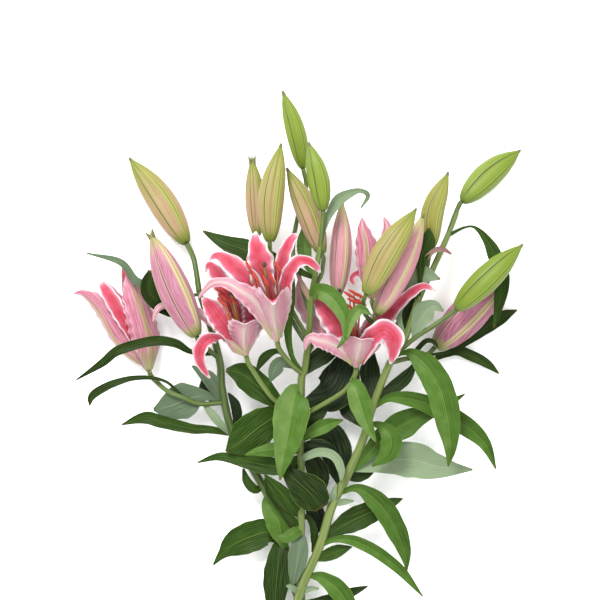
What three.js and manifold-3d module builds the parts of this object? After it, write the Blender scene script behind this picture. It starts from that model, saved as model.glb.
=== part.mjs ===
// A tied bunch of three cut lily stems, laid flat on a surface.
//
// Millimetres. x runs to the right, y along the stems towards the flowers, and z up from the surface.
// The tables below measure x and y from where the three stems cross, and BOX_MIDDLE then moves the
// bunch so that its origin lies on the surface under the middle of its box.
// A fourth number in a point is the width or the diameter there.

import * as THREE from "three";
import { mergeVertices } from "three/addons/utils/BufferGeometryUtils.js";
import Module from "manifold-3d";

const wasm = await Module();
wasm.setup();

// Driving dimensions
const BOX_MIDDLE = { x: -2.5, y: 156 };
const LEAF_THICKNESS = 0.9;
const TEPAL_THICKNESS = 1.2;
const LEAST_WIDTH = 1;
const TEPAL_CUP = 0.2;
const ROLL_REACH = 0.6;
const SEAT_GAP = 0.3;
const STALK_LEAD = 4;
const STEM_SIDES = 8;
const STALK_SIDES = 5;
const BUD_SIDES = 12;
const BUD_RIDGE = 0.07;
const RECEPTACLE_LENGTH = 12;
const RECEPTACLE_WIDTH = { low: 7, high: 9 };
const STAMEN_START = 0.6;
const STAMEN_ARCH = 2;
const STAMEN_SPREAD = 2.2;
const STAMEN_SIDES = 4;
const FILAMENT_WIDTH = 1.6;
const ANTHER_LENGTH = 15;
const ANTHER_WIDTH = 3.2;
const PISTIL_SIDES = 5;
const STYLE_WIDTH = 2.4;
const STIGMA_WIDTH = 5;
const STIGMA_START = 0.94;
const TIE_THICKNESS = 1.2;
const TIE_ENDS = { low: -27, high: -15 };
const TIE_SIDES = 20;
const STEM_RADIUS_AT_TIE = 4.8;
const STEPS_TO_FIND_TIE = 40;

// How wide a closed bud is along its length, as shares of its length and of its greatest half width.
const BUD_PROFILE = [
  [0, 0.3],
  [0.08, 0.6],
  [0.2, 0.84],
  [0.42, 1],
  [0.66, 0.87],
  [0.82, 0.58],
  [0.94, 0.25],
];
// The lower part of a bud whose tips have opened: it ends wide, and its tips stand out of it.
const OPEN_PROFILE = [
  [0, 0.2],
  [0.12, 0.42],
  [0.35, 0.72],
  [0.6, 0.94],
  [0.85, 1],
  [1, 0.86],
];

const COLOURS = {
  stem_left: 0x5f8f45,
  stem_centre: 0x7fa356,
  stem_right: 0x6d9a4c,
  green: 0x9dba45,
  flushed: 0xcfcf7a,
  pink: 0xd99bb4,
  coral: 0xe5708f,
  bloom: 0xe9839f,
  tie: 0xb99a68,
};

// The three stems, from the cut end up to where the highest stalk begins.
const STEMS = {
  stem_left: [
    [62, -196, 4.157, 9],
    [51, -160, 4.157, 9],
    [27, -90, 5.6, 9],
    [-3, 5, 7.2, 9],
    [-15, 50, 9.5, 9],
    [-25, 88, 12, 8.5],
    [-39, 116, 15, 8.5],
    [-67, 165, 21, 8],
    [-78, 210, 27, 8],
    [-80, 236, 30, 7.5],
    [-88, 268, 34, 7],
    [-101, 308, 38, 6],
  ],
  stem_centre: [
    [0, -196, 9, 9.5],
    [1, -100, 12, 9.5],
    [1, 0, 17.2, 9],
    [1, 40, 20.5, 8],
    [1, 120, 30, 8],
    [1, 213, 48, 8],
    [5, 232, 54, 7],
    [9, 267, 68, 6.5],
    [11, 300, 76, 6],
    [16, 329, 80, 5.5],
    [20, 353, 82, 5],
  ],
  stem_right: [
    [-58, -188, 11, 9.5],
    [-30, -100, 19, 9.5],
    [-2, 0, 27.2, 9],
    [20, 54, 31, 9],
    [32, 93, 34, 9],
    [48, 126, 38, 9],
    [63, 160, 42, 8.5],
    [73, 194, 46, 8],
    [89, 235, 50, 7.5],
    [105, 262, 52, 7],
    [119, 302, 52, 6.5],
    [129, 323, 48, 6],
    [142, 351, 40, 6],
    [149, 367, 34, 5.5],
    [157, 387, 27, 5],
  ],
};

// Leaves of each stem, from the root on the stem to the tip. cup lifts a leaf's margins by that share of
// its half width.
const LEAVES = {
  stem_left: [
    { spine: [[-101, 306, 38, 3], [-118, 302, 31, 5], [-138, 298, 34, 5], [-150, 312, 42, 9],
      [-165, 320, 43, 8], [-180, 338, 43, 7], [-214, 347, 36, 1.5]], cup: 0.2 },
    { spine: [[-94, 285, 36, 3], [-120, 284, 30, 6], [-142, 296, 44, 15], [-151, 313, 48, 19],
      [-150, 330, 47, 4]], cup: 0.2 },
    { spine: [[-84, 246, 31, 4], [-108, 248, 48, 5], [-125, 257, 53, 9], [-148, 259, 52, 10],
      [-181, 250, 50, 10], [-198, 237, 46, 8], [-224, 220, 38, 1.5]], cup: 0.25 },
    { spine: [[-116, 202, 32, 3], [-136, 219, 31, 3], [-164, 222, 31, 5], [-190, 215, 28, 8],
      [-208, 204, 24, 8], [-211, 194, 20, 1.5]], cup: 0.2 },
    { spine: [[-78, 200, 26, 4], [-96, 204, 27, 12], [-114, 200, 26, 36], [-132, 193, 22, 26],
      [-147, 190, 18, 3]], cup: 0.15 },
    { spine: [[-69, 166, 21, 5], [-90, 170, 26, 8], [-108, 171, 28, 10], [-138, 178, 30, 13],
      [-156, 182, 28, 12], [-179, 175, 22, 1.5]], cup: 0.25 },
    { spine: [[-78, 199, 26, 5], [-84, 212, 29, 14], [-93, 223, 31, 14], [-108, 234, 32, 2]], cup: 0.2 },
    { spine: [[-67, 166, 21, 4], [-63, 180, 26, 9], [-65, 195, 28, 10], [-72, 207, 27, 2]], cup: 0.2 },
    { spine: [[-69, 165, 21, 4], [-80, 176, 26, 8], [-90, 188, 28, 8], [-98, 198, 26, 2]], cup: 0.2 },
    { spine: [[-79, 196, 26, 4], [-86, 204, 24, 16], [-92, 214, 23, 22], [-97, 223, 23, 3]], cup: 0.2 },
    { spine: [[-38, 113, 15, 4], [-45, 110, 20, 9], [-53, 118, 22, 9], [-57, 131, 22, 2]], cup: 0.2 },
    { spine: [[-33, 104, 13, 6], [-31, 92, 21, 16], [-22, 80, 23, 27], [-19, 66, 22, 20],
      [-14, 49, 19, 3]], cup: 0.2 },
    { spine: [[-17, 57, 10, 5], [-30, 67, 15, 24], [-48, 63, 16, 31], [-66, 55, 14, 26], [-78, 45, 11, 10],
      [-87, 34, 9, 2]], cup: 0.2 },
    { spine: [[-18, 62, 10, 5], [-20, 50, 19, 18], [-23, 25, 21, 27], [-25, 0, 19, 20],
      [-26, -20, 15, 2]], cup: 0.15 },
  ],
  stem_centre: [
    { spine: [[14, 322, 79, 4], [-8, 332, 66, 9], [-30, 341, 62, 16], [-55, 350, 61, 22],
      [-77, 358, 60, 14], [-97, 369, 56, 2]], cup: 0.1 },
    { spine: [[20, 351, 82, 4], [24, 372, 80, 5], [31, 389, 78, 9], [39, 400, 76, 12], [49, 406, 74, 9],
      [60, 409, 71, 5], [68, 404, 66, 5], [61, 392, 61, 1.5]], cup: 0.2 },
    { spine: [[15, 322, 79, 4], [8, 335, 56, 9], [5, 346, 45, 14], [4, 359, 42, 14], [3, 373, 40, 2]],
      cup: 0.15 },
    { spine: [[4, 226, 52, 4], [-8, 244, 60, 5], [-12, 270, 68, 8], [-9, 305, 74, 9], [-7, 332, 72, 2]],
      cup: 0.3 },
    { spine: [[11, 298, 76, 4], [4, 312, 82, 6], [-3, 326, 84, 1.5]], cup: 0.3 },
    { spine: [[11, 300, 76, 5], [18, 309, 86, 15], [32, 302, 93, 18], [44, 284, 95, 14], [46, 266, 94, 8],
      [37, 252, 90, 1.5]], cup: 0.2 },
    { spine: [[46, 262, 94, 4], [51, 280, 96, 10], [60, 291, 94, 10], [71, 285, 90, 1.5]], cup: 0.2 },
    { spine: [[1, 66, 24, 5], [0, 57, 30, 16], [-2, 42, 30, 20], [-5, 26, 28, 13],
      [-8, 13, 26, 2]], cup: 0.3 },
    { spine: [[1, 72, 24, 4], [-5, 67, 31, 12], [-14, 62, 32, 11], [-23, 63, 30, 2]], cup: 0.3 },
    { spine: [[1, 185, 42, 5], [-20, 196, 43, 12], [-40, 212, 43, 26], [-58, 226, 43, 24],
      [-74, 230, 42, 4]], cup: 0.15 },
    { spine: [[1, 176, 40, 5], [-20, 184, 39, 20], [-38, 175, 39, 36], [-56, 161, 39, 36],
      [-74, 148, 37, 3]], cup: 0.12 },
    { spine: [[1, 210, 47, 5], [-4, 207, 54, 22], [-8, 190, 59, 36], [-12, 165, 58, 30], [-17, 140, 54, 16],
      [-20, 120, 49, 1.5]], cup: 0.15 },
    { spine: [[1, 148, 35, 4], [-14, 151, 43, 13], [-30, 150, 46, 14], [-45, 148, 47, 7],
      [-55, 145, 46, 1.5]], cup: 0.2 },
    { spine: [[1, 134, 32, 5], [-14, 130, 39, 8], [-3, 119, 43, 25], [8, 109, 42, 36], [17, 99, 40, 30],
      [22, 92, 38, 14]], cup: 0.1 },
    { spine: [[1, 160, 37, 5], [12, 168, 44, 12], [26, 175, 48, 14], [43, 180, 46, 1.5]], cup: 0.2 },
    { spine: [[1, 150, 35.5, 4], [9, 152, 41, 15], [20, 152, 43, 18], [31, 150, 43, 10],
      [39, 145, 42, 1.5]], cup: 0.1 },
    { spine: [[1, 138, 33, 4], [6, 143, 42, 7], [20, 148, 48, 9], [34, 144, 51, 9], [41, 131, 52, 8],
      [41, 118, 50, 1.5]], cup: 0.2 },
    { spine: [[-1, 84, 26, 5], [-10, 95, 33, 15], [-20, 108, 37, 16], [-36, 126, 39, 1.5]], cup: 0.2 },
    { spine: [[-1, 143, 34, 5], [-16, 133, 35, 14], [-36, 135, 34, 19], [-62, 140, 32, 12],
      [-82, 143, 28, 8], [-103, 137, 22, 1.5]], cup: 0.25 },
    { spine: [[2, 84, 25, 4], [10, 80, 24, 6], [15, 64, 22, 7], [12, 47, 21, 1.5]], cup: 0.3 },
    { spine: [[-14, 243, 66, 3], [-22, 249, 62, 5], [-30, 247, 58, 8], [-37, 241, 56, 9],
      [-44, 228, 52, 1.5]], cup: 0.3 },
    { spine: [[-4, 232, 56, 3], [-18, 238, 56, 12], [-25, 230, 54, 14], [-30, 218, 52, 1.5]], cup: 0.2 },
    { spine: [[3, 226, 52, 5], [14, 238, 50, 16], [28, 248, 50, 18], [42, 256, 50, 2]], cup: 0.2 },
    { spine: [[1, 196, 44, 5], [16, 200, 40, 20], [31, 206, 37, 38], [41, 221, 35, 40], [46, 239, 34, 24],
      [47, 252, 34, 3]], cup: 0.1 },
    { spine: [[1, 166, 38, 5], [15, 168, 31, 20], [30, 163, 27, 30], [37, 146, 25, 31], [39, 128, 24, 20],
      [40, 112, 24, 2]], cup: 0.1 },
    { spine: [[-1, 64, 24, 4], [-8, 78, 28, 11], [-20, 92, 30, 7], [-31, 108, 31, 7],
      [-35, 122, 31, 2]], cup: 0.15 },
    { spine: [[2, 100, 27, 4], [12, 92, 22, 16], [17, 80, 19, 18], [14, 66, 18, 8], [12, 56, 18, 2]],
      cup: 0.15 },
    { spine: [[1, 146, 35, 4], [9, 141, 29, 14], [17, 130, 26, 22], [19, 116, 25, 19],
      [18, 103, 24, 3]], cup: 0.1 },
    { spine: [[1, 165, 38, 4], [9, 176, 41, 12], [20, 187, 42, 12], [30, 196, 41, 2]], cup: 0.2 },
    { spine: [[48, 214.5, 54.5, 4], [50, 218, 67, 8], [55, 213, 74, 17], [60, 197, 76, 22],
      [67, 176, 74, 13], [76, 158, 71, 1.5]], cup: 0.2 },
  ],
  stem_right: [
    { spine: [[118, 300, 54, 4], [120, 322, 57, 5], [121, 342, 58, 13], [127, 358, 58, 17],
      [129, 372, 56, 2]], cup: 0.15 },
    { spine: [[119, 302, 54, 3], [113, 322, 54, 4], [130, 346, 59, 5], [141, 351, 60, 5],
      [151, 346, 58, 1.5]], cup: 0.3 },
    { spine: [[105, 262, 52, 3], [98, 286, 50, 8], [101, 304, 52, 22], [111, 319, 54, 29],
      [124, 325, 55, 19], [140, 321, 54, 1.5]], cup: 0.15 },
    { spine: [[113, 261, 54, 3], [117, 272, 55, 12], [124, 287, 56, 22], [134, 294, 57, 12],
      [143, 289, 56, 1.5]], cup: 0.2 },
    { spine: [[149, 365, 35, 4], [163, 372, 37, 2.5], [174, 373, 38, 3], [185, 363, 38, 8],
      [194, 347, 38, 14], [202, 323, 39, 16], [200, 300, 38, 12], [194, 272, 34, 1.5]], cup: 0.1 },
    { spine: [[131, 245, 21, 3], [150, 248, 7, 4], [169, 258, 5, 6], [188, 273, 5, 13], [203, 283, 7, 13],
      [218, 290, 6, 1.5]], cup: 0.1 },
    { spine: [[71, 188, 45, 4], [72, 210, 38, 16], [70, 230, 34, 20], [73, 249, 32, 3]], cup: 0.15 },
    { spine: [[90, 240, 50, 3], [103, 247, 58, 4], [112, 246, 63, 12], [127, 233, 68, 25],
      [140, 210, 70, 28], [147, 182, 68, 26], [150, 155, 62, 14], [148, 134, 56, 1.5]], cup: 0.18 },
    { spine: [[74, 192, 46, 3], [88, 202, 50, 8], [105, 202, 52, 14], [128, 196, 51, 18], [150, 184, 49, 21],
      [170, 171, 46, 19], [186, 155, 42, 12], [196, 131, 36, 1.5]], cup: 0.2 },
    { spine: [[52, 128, 39, 4], [66, 144, 42, 12], [84, 163, 43, 22], [104, 176, 42, 28],
      [124, 186, 41, 17], [146, 195, 42, 10], [165, 206, 40, 1.5]], cup: 0.2 },
    { spine: [[68, 176, 44, 3], [79, 175, 54, 8], [89, 166, 60, 18], [91, 155, 60, 22], [86, 145, 57, 16],
      [72, 134, 52, 1.5]], cup: 0.2 },
    { spine: [[50, 130, 39, 4], [70, 134, 38, 14], [92, 140, 37, 30], [113, 140, 36, 36],
      [135, 134, 35, 27], [155, 131, 33, 13], [173, 130, 30, 1.5]], cup: 0.12 },
    { spine: [[46, 122, 37, 4], [57, 125, 33, 16], [67, 133, 32, 18], [77, 146, 32, 3]], cup: 0.15 },
    { spine: [[75, 198, 46, 4], [88, 208, 47, 12], [102, 219, 49, 14], [110, 228, 51, 10],
      [115, 238, 51, 1.5]], cup: 0.2 },
    { spine: [[112, 241, 34, 3], [131, 240, 14, 4], [146, 245, 7, 6], [158, 249, 7, 10], [172, 244, 8, 11],
      [188, 236, 8, 9], [200, 226, 5, 1.5]], cup: 0.2 },
    { spine: [[108, 240, 38, 3], [117, 250, 39, 5], [126, 259, 38, 5], [134, 258, 34, 4],
      [138, 252, 30, 1.5]], cup: 0.2 },
    { spine: [[38, 106, 35, 4], [56, 112, 44, 8], [72, 103, 48, 18], [86, 88, 48, 22], [98, 66, 44, 20],
      [105, 46, 38, 12], [107, 29, 32, 1.5]], cup: 0.2 },
    { spine: [[22, 60, 31, 4], [36, 70, 32, 14], [52, 79, 32, 24], [72, 88, 30, 22], [90, 96, 28, 12],
      [103, 101, 24, 1.5]], cup: 0.15 },
    { spine: [[20, 54, 31, 4], [34, 60, 38, 6], [50, 60, 40, 10], [66, 54, 40, 12], [84, 43, 38, 12],
      [102, 28, 34, 10], [123, 3, 26, 1.5]], cup: 0.25 },
    { spine: [[14, 40, 30, 4], [26, 44, 32, 12], [38, 49, 34, 13], [52, 53, 34, 1.5]], cup: 0.2 },
    { spine: [[9, 24, 28.5, 4], [22, 22, 34, 12], [38, 10, 36, 20], [50, -8, 32, 16],
      [60, -28, 26, 1.5]], cup: 0.2 },
    { spine: [[-3, -4, 27, 4], [14, -4, 25, 10], [36, 1, 24, 13], [54, 8, 24, 9],
      [68, 13, 23, 1.5]], cup: 0.2 },
    { spine: [[33, 94, 34, 5], [33, 105, 41, 7], [36, 115, 42, 2]], cup: 0.4 },
    { spine: [[34, 96, 34, 5], [44, 98, 41, 7], [54, 99, 42, 1.5]], cup: 0.4 },
    { spine: [[90, 238, 50, 4], [97, 256, 42, 14], [105, 276, 41, 18], [114, 294, 42, 14],
      [121, 306, 43, 2]], cup: 0.15 },
    { spine: [[66, 172, 42, 4], [57, 181, 33, 12], [47, 190, 29, 16], [38, 195, 28, 3]], cup: 0.2 },
    { spine: [[0, 6, 27, 5], [-8, 12, 33, 6], [-14, 14, 34, 1.5]], cup: 0.4 },
    { spine: [[1, 6, 27, 5], [10, 11, 33, 6], [19, 11, 34, 1.5]], cup: 0.4 },
  ],
};

// Buds: axis from base to tip, greatest width, and the stalk from the stem up to just below the base.
// A bud that has begun to open has its tepals round a slim core, written as for the blooms below.
const BUDS = [
  { name: "bud_01", stem: "stem_left", colour: "flushed", width: 29, grounded: true,
    axis: [[-114, 357, 23], [-141, 402, 13.3], [-171, 442, 13.3]],
    stalk: [[-101, 308, 38, 6], [-104, 329, 35, 5.5], [-107, 343, 31, 5.5]] },
  { name: "bud_02", stem: "stem_left", colour: "pink", width: 32.5,
    axis: [[-103, 264, 66], [-126, 314, 67], [-149, 367, 64]],
    stalk: [[-82, 242, 31, 5], [-91, 250, 46, 5], [-98, 256, 59, 5]] },
  { name: "bud_03", stem: "stem_left", colour: "pink", width: 22, open: true,
    axis: [[-151, 228, 19], [-160, 252, 18], [-168, 276, 19]],
    stalk: [[-78, 197, 26, 5], [-101, 196, 30, 5], [-116, 202, 32, 5], [-133, 209, 28, 5],
      [-145, 219, 21, 5]],
    tepals: [
      { face: [0.65, 0.45, -0.6], cup: 0.5, spine: [[-152, 231, 18, 8], [-172, 244, 18, 22],
        [-187, 262, 19, 32], [-199, 283, 20, 32], [-209, 297, 21, 24], [-219, 305, 20, 11],
        [-227, 306, 17, 2]] },
      { face: [-0.5, 0.1, -0.85], cup: 0.5, spine: [[-150, 230, 22, 8], [-149, 246, 28, 24],
        [-151, 263, 32, 32], [-160, 294, 35, 30], [-167, 314, 34, 20], [-173, 329, 30, 2]] },
      { face: [0.1, 0.2, -1], cup: 0.4, spine: [[-152, 232, 18, 8], [-166, 260, 18, 14],
        [-180, 288, 19, 18], [-190, 306, 20, 14], [-198, 318, 19, 3]] },
      { cup: 0.4, spine: [[-152, 232, 21, 6], [-167, 260, 26, 8], [-181, 287, 29, 15],
        [-192, 306, 30, 14], [-201, 319, 27, 3]] },
      { cup: 0.3, spine: [[-156, 248, 12, 8], [-166, 285, 9, 16], [-174, 318, 10, 11],
        [-178, 337, 9, 2]] },
    ] },
  { name: "bud_04", stem: "stem_centre", colour: "flushed", width: 20,
    axis: [[-43, 364, 48], [-45, 404, 45], [-48, 442, 44]],
    stalk: [[7, 255, 63, 4.5], [-8, 280, 58, 4.5], [-30, 325, 50, 4.5], [-42, 350, 48, 4.5]] },
  { name: "bud_05", stem: "stem_centre", colour: "flushed", width: 26,
    axis: [[-30, 358, 74], [-29, 402, 74], [-19, 455, 73]],
    stalk: [[8, 262, 66, 4.5], [-8, 290, 64, 4.5], [-22, 325, 68, 4.5], [-29, 346, 73, 4.5]] },
  { name: "bud_06", stem: "stem_centre", colour: "green", width: 20,
    axis: [[3, 432, 44], [-4, 468, 51], [-17, 508, 56]],
    stalk: [[10, 285, 73, 4.5], [0, 320, 66, 4.5], [-7, 348, 50, 4.5], [-3, 380, 40, 4.5],
      [6, 412, 40, 4.5]] },
  { name: "bud_07", stem: "stem_centre", colour: "green", width: 22,
    axis: [[23, 389, 85], [19, 420, 88], [9, 456, 90]],
    stalk: [[16, 329, 80, 5.5], [20, 353, 82, 5], [23, 378, 84, 5]] },
  { name: "bud_08", stem: "stem_centre", colour: "flushed", width: 24,
    axis: [[22, 346, 61], [7, 388, 60], [-13, 431, 60]],
    stalk: [[14, 312, 78, 4.5], [21, 325, 71, 4.5], [23, 337, 64, 4.5]] },
  { name: "bud_09", stem: "stem_centre", colour: "pink", width: 22,
    axis: [[37, 303, 46], [41, 350, 47], [42, 399, 50]],
    stalk: [[6, 242, 58, 4.5], [14, 258, 52, 4.5], [28, 280, 46, 4.5], [35, 294, 45.5, 4.5]] },
  { name: "bud_10", stem: "stem_right", colour: "coral", width: 16, open: true,
    axis: [[72, 300, 47], [70, 318, 47], [68, 336, 47]],
    stalk: [[98, 250, 51, 4.5], [88, 266, 42, 4.5], [76, 287, 42, 4.5]],
    tepals: [
      { outer: true, cup: 0.4, spine: [[72, 302, 49, 8], [70, 320, 52, 18], [67, 340, 54, 22],
        [66, 356, 54, 21], [63, 371, 52, 12], [62, 382, 49, 2]] },
      { face: [0.3, 0, -1], cup: 0.3, spine: [[74, 304, 46, 8], [80, 335, 46, 16], [86, 360, 45, 14],
        [87, 373, 42, 9], [84, 383, 39, 2]] },
      { spine: [[69, 318, 45, 10], [61, 326, 43, 8], [55, 326, 43, 6], [51.5, 321, 44, 5],
        [54, 315, 44, 3]] },
    ] },
  { name: "bud_11", stem: "stem_right", colour: "flushed", width: 29,
    axis: [[66, 306, 100], [86, 346, 103], [115, 390, 104]],
    stalk: [[98, 250, 51, 4.5], [84, 264, 61, 4.5], [71, 278, 67, 4.5], [64, 288, 77, 4.5],
      [63, 298, 92, 4.5]] },
  { name: "bud_12", stem: "stem_right", colour: "pink", width: 26,
    axis: [[76, 286, 74], [103, 338, 75], [123, 385, 75]],
    stalk: [[94, 245, 50, 4.5], [85, 258, 60, 4.5], [77, 272, 68, 4.5]] },
  { name: "bud_13", stem: "stem_right", colour: "flushed", width: 23,
    axis: [[131, 352, 41], [133, 388, 44], [148, 427, 47]],
    stalk: [[127, 319, 50, 4.5], [127, 330, 46, 4.5], [129, 342, 42, 4.5]] },
  { name: "bud_14", stem: "stem_right", colour: "green", width: 27, grounded: true,
    axis: [[163, 399, 22], [192, 427, 12.4], [221, 450, 12.4]],
    stalk: [[149, 367, 34, 5.5], [155, 384, 28, 5]] },
  { name: "bud_15", stem: "stem_right", colour: "flushed", width: 27,
    axis: [[156, 291, 60], [189, 323, 62], [222, 355, 60]],
    stalk: [[98, 248, 51, 5], [116, 263, 54, 5], [133, 274, 57, 5], [146, 283, 59, 5]] },
  { name: "bud_16", stem: "stem_right", colour: "pink", width: 37, grounded: true,
    axis: [[136, 253, 18], [171, 289, 17.8], [208, 324, 20]],
    stalk: [[90, 237, 49, 5], [105, 241, 38, 5], [121, 243, 25, 5], [130, 247, 19, 5]] },
];

// Open blooms: the base and the way that each faces, its stalk, its six tepals from base to tip, and the
// ends of its stamens and of its pistil. lean is the way that the anthers lie. A tepal lies level, with its
// inner face upwards or, where it says "outer", its outer face. One that stands up has the way that its
// inner face looks. A tepal with a roll is turned by that many degrees at its root, and not at all past its
// middle.
const BLOOMS = [
  {
    name: "bloom_upper_left",
    stem: "stem_centre",
    base: [-23, 260, 80],
    facing: [-12, 53, 30],
    stalk: [[3, 226, 52, 5], [-6, 233, 60, 5], [-15, 243, 68, 5], [-21, 252, 75, 5]],
    tepals: [
      { spine: [[-24, 263, 80, 7], [-30, 295, 92, 18], [-38, 325, 101, 25], [-40, 341, 104, 26],
        [-44, 357, 104, 14], [-44, 368, 99, 2]] },
      { spine: [[-25, 262, 80, 7], [-36, 291, 91, 18], [-48, 315, 100, 22], [-63, 331, 103, 21],
        [-75, 341, 101, 15], [-84, 344, 96, 7], [-91, 339, 89, 2]] },
      { outer: true, spine: [[-25, 262, 82, 7], [-35, 284, 97, 18], [-46, 300, 108, 22],
        [-60, 310, 112, 16], [-73, 317, 110, 11], [-88, 316, 104, 8], [-101, 302, 92, 2]] },
      { face: [0, 0.8, -0.5], cup: 1.1, spine: [[-22, 261, 84, 9], [-25, 275, 98, 28],
        [-27, 288, 112, 36], [-27, 296, 124, 30], [-27, 299, 132, 20], [-26, 295, 138, 5]] },
      { spine: [[-21, 263, 80, 7], [-17, 295, 94, 12], [-13, 322, 103, 14], [-4, 337, 107, 13],
        [7, 339, 106, 10], [16, 333, 101, 7], [20, 327, 96, 2]] },
      { spine: [[-23, 263, 79, 7], [-23, 300, 87, 13], [-20, 330, 94, 15], [-14, 350, 96, 13],
        [-8, 361, 94, 9], [-2, 366, 89, 2]] },
    ],
    lean: [-0.42, 0.85, -0.3],
    anthers: [[-51, 333, 112], [-44, 323, 118], [-22, 333, 113], [-28, 322, 118], [-38, 332, 110],
      [-34, 319, 120]],
    stigma: [-36, 337, 122],
  },
  {
    name: "bloom_lower_left",
    stem: "stem_centre",
    base: [-54, 246, 62],
    facing: [-14, 54, 32],
    stalk: [[1, 186, 43, 5], [-24, 199, 50, 5], [-36, 213, 54, 5], [-46, 228, 57, 5],
      [-52, 238, 59, 5]],
    tepals: [
      { spine: [[-55, 249, 62, 7], [-62, 278, 67, 19], [-72, 305, 73, 21], [-82, 325, 76, 17],
        [-90, 335, 73, 8], [-94, 328, 68, 2]] },
      { spine: [[-56, 248, 63, 7], [-67, 262, 71, 17], [-77, 277, 77, 23], [-87, 291, 79, 20],
        [-94, 299, 77, 9], [-98, 302, 73, 2]] },
      { spine: [[-54, 249, 61, 7], [-49, 268, 66, 18], [-46, 284, 71, 24], [-50, 299, 73, 18],
        [-57, 311, 72, 3]] },
      { roll: -170, spine: [[-55, 247, 65, 7], [-66, 255, 74, 14], [-77, 262, 80, 15], [-87, 263, 83, 14],
        [-95, 259, 83, 14], [-100, 250, 80, 14], [-100, 240, 75, 11], [-96, 231, 69, 7],
        [-90, 222, 63, 2]] },
      { face: [0, 0.8, -0.5], cup: 0.5, spine: [[-54, 247, 65, 8], [-56, 257, 75, 22], [-56, 267, 84, 31],
        [-55, 274, 91, 28], [-55, 276, 96, 12]] },
      { outer: true, spine: [[-55, 248, 62, 6], [-74, 266, 53, 10], [-95, 284, 47, 11],
        [-118, 293, 44.5, 8], [-134, 295, 48, 7], [-143, 290, 49.5, 6], [-147, 278, 48, 1.5]] },
    ],
    lean: [-0.75, 0.6, -0.3],
    anthers: [[-80, 309, 88], [-76, 302, 91], [-72, 308, 86], [-67, 300, 91], [-78, 298, 93],
      [-66, 306, 86]],
    stigma: [-69, 309, 94],
  },
  {
    name: "bloom_right",
    stem: "stem_centre",
    base: [56, 234, 58],
    facing: [-2, 40, 28],
    stalk: [[1, 184, 42, 5], [20, 194, 47, 5], [44, 209, 53, 5], [54, 223, 56, 5]],
    tepals: [
      { outer: true, spine: [[54, 236, 57, 7], [40, 256, 57, 17], [24, 276, 56, 26], [9, 294, 54, 26],
        [2, 308, 51, 16], [-1, 320, 49, 3]] },
      { outer: true, spine: [[54, 237, 61, 7], [44, 248, 69, 15], [30, 257, 76, 18], [18, 260, 78, 14],
        [10, 262, 77.5, 9], [6, 256, 75, 6], [5, 250, 71, 2]] },
      { face: [0, 0.8, -0.5], cup: 0.35, spine: [[56, 236, 62, 9], [57, 244, 70, 28], [59, 252, 77, 42],
        [60, 258, 82, 38], [61, 261, 86, 12]] },
      { spine: [[60, 237, 60, 8], [64, 251, 69, 18], [73, 264, 79, 20], [84, 270, 84, 22],
        [92, 263, 83, 23], [93, 250, 77, 14], [90, 236, 68, 2]] },
      { spine: [[59, 237, 57, 8], [66, 256, 53, 26], [78, 276, 53, 24], [97, 295, 59, 13],
        [112, 308, 63, 10], [124, 314, 64, 7], [135, 309, 61, 2]] },
      { spine: [[57, 238, 59, 8], [51, 256, 64, 25], [40, 275, 67, 32], [28, 290, 67, 27],
        [18, 299, 65, 13], [13, 304, 62, 2]] },
    ],
    lean: [-0.85, 0.4, -0.2],
    anthers: [[49, 305, 82], [54, 307, 79], [60, 304, 79], [60, 298, 82], [53, 299, 86], [50, 293, 84]],
    stigma: [38, 311, 84],
  },
];

const UP = new THREE.Vector3(0, 0, 1);

// Places along a smooth curve through the points, with "steps" of them from each point to the next.
function follow(points, steps = 1) {
  const places = points.map(([x, y, z]) => new THREE.Vector3(x, y, z));
  const sizes = points.map(([, , , width]) => new THREE.Vector3(width, 0, 0));
  const path = new THREE.CatmullRomCurve3(places, false, "catmullrom", 0.5);
  const size = new THREE.CatmullRomCurve3(sizes, false, "catmullrom", 0.5);
  const count = (points.length - 1) * steps;
  return Array.from({ length: count + 1 }, (_, i) => ({
    at: path.getPoint(i / count),
    along: path.getTangent(i / count),
    width: Math.max(size.getPoint(i / count).x, LEAST_WIDTH),
  }));
}

function solidOf(vertices, faces) {
  const mesh = new wasm.Mesh({
    numProp: 3,
    vertProperties: new Float32Array(vertices.flatMap((vertex) => vertex.toArray())),
    triVerts: new Uint32Array(faces.flat()),
  });
  return new wasm.Manifold(mesh);
}

function solidOfGeometry(source) {
  const geometry = source.clone();
  geometry.deleteAttribute("normal");
  geometry.deleteAttribute("uv");
  const merged = mergeVertices(geometry);
  const mesh = new wasm.Mesh({
    numProp: 3,
    vertProperties: new Float32Array(merged.attributes.position.array),
    triVerts: new Uint32Array(merged.index.array),
  });
  return new wasm.Manifold(mesh);
}

// A closed skin over rings of equally many points, with a point at each end to close it.
function loft(rings, start, end) {
  const sides = rings[0].length;
  const vertices = [...rings.flat(), start, end];
  const startIndex = rings.length * sides;
  const endIndex = startIndex + 1;
  const lastRing = (rings.length - 1) * sides;
  const faces = [];
  for (let side = 0; side < sides; side += 1) {
    const next = (side + 1) % sides;
    faces.push([startIndex, next, side], [endIndex, lastRing + side, lastRing + next]);
    for (let ring = 0; ring < rings.length - 1; ring += 1) {
      const low = ring * sides;
      const high = low + sides;
      faces.push([low + side, low + next, high + next], [low + side, high + next, high + side]);
    }
  }
  return solidOf(vertices, faces);
}

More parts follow.
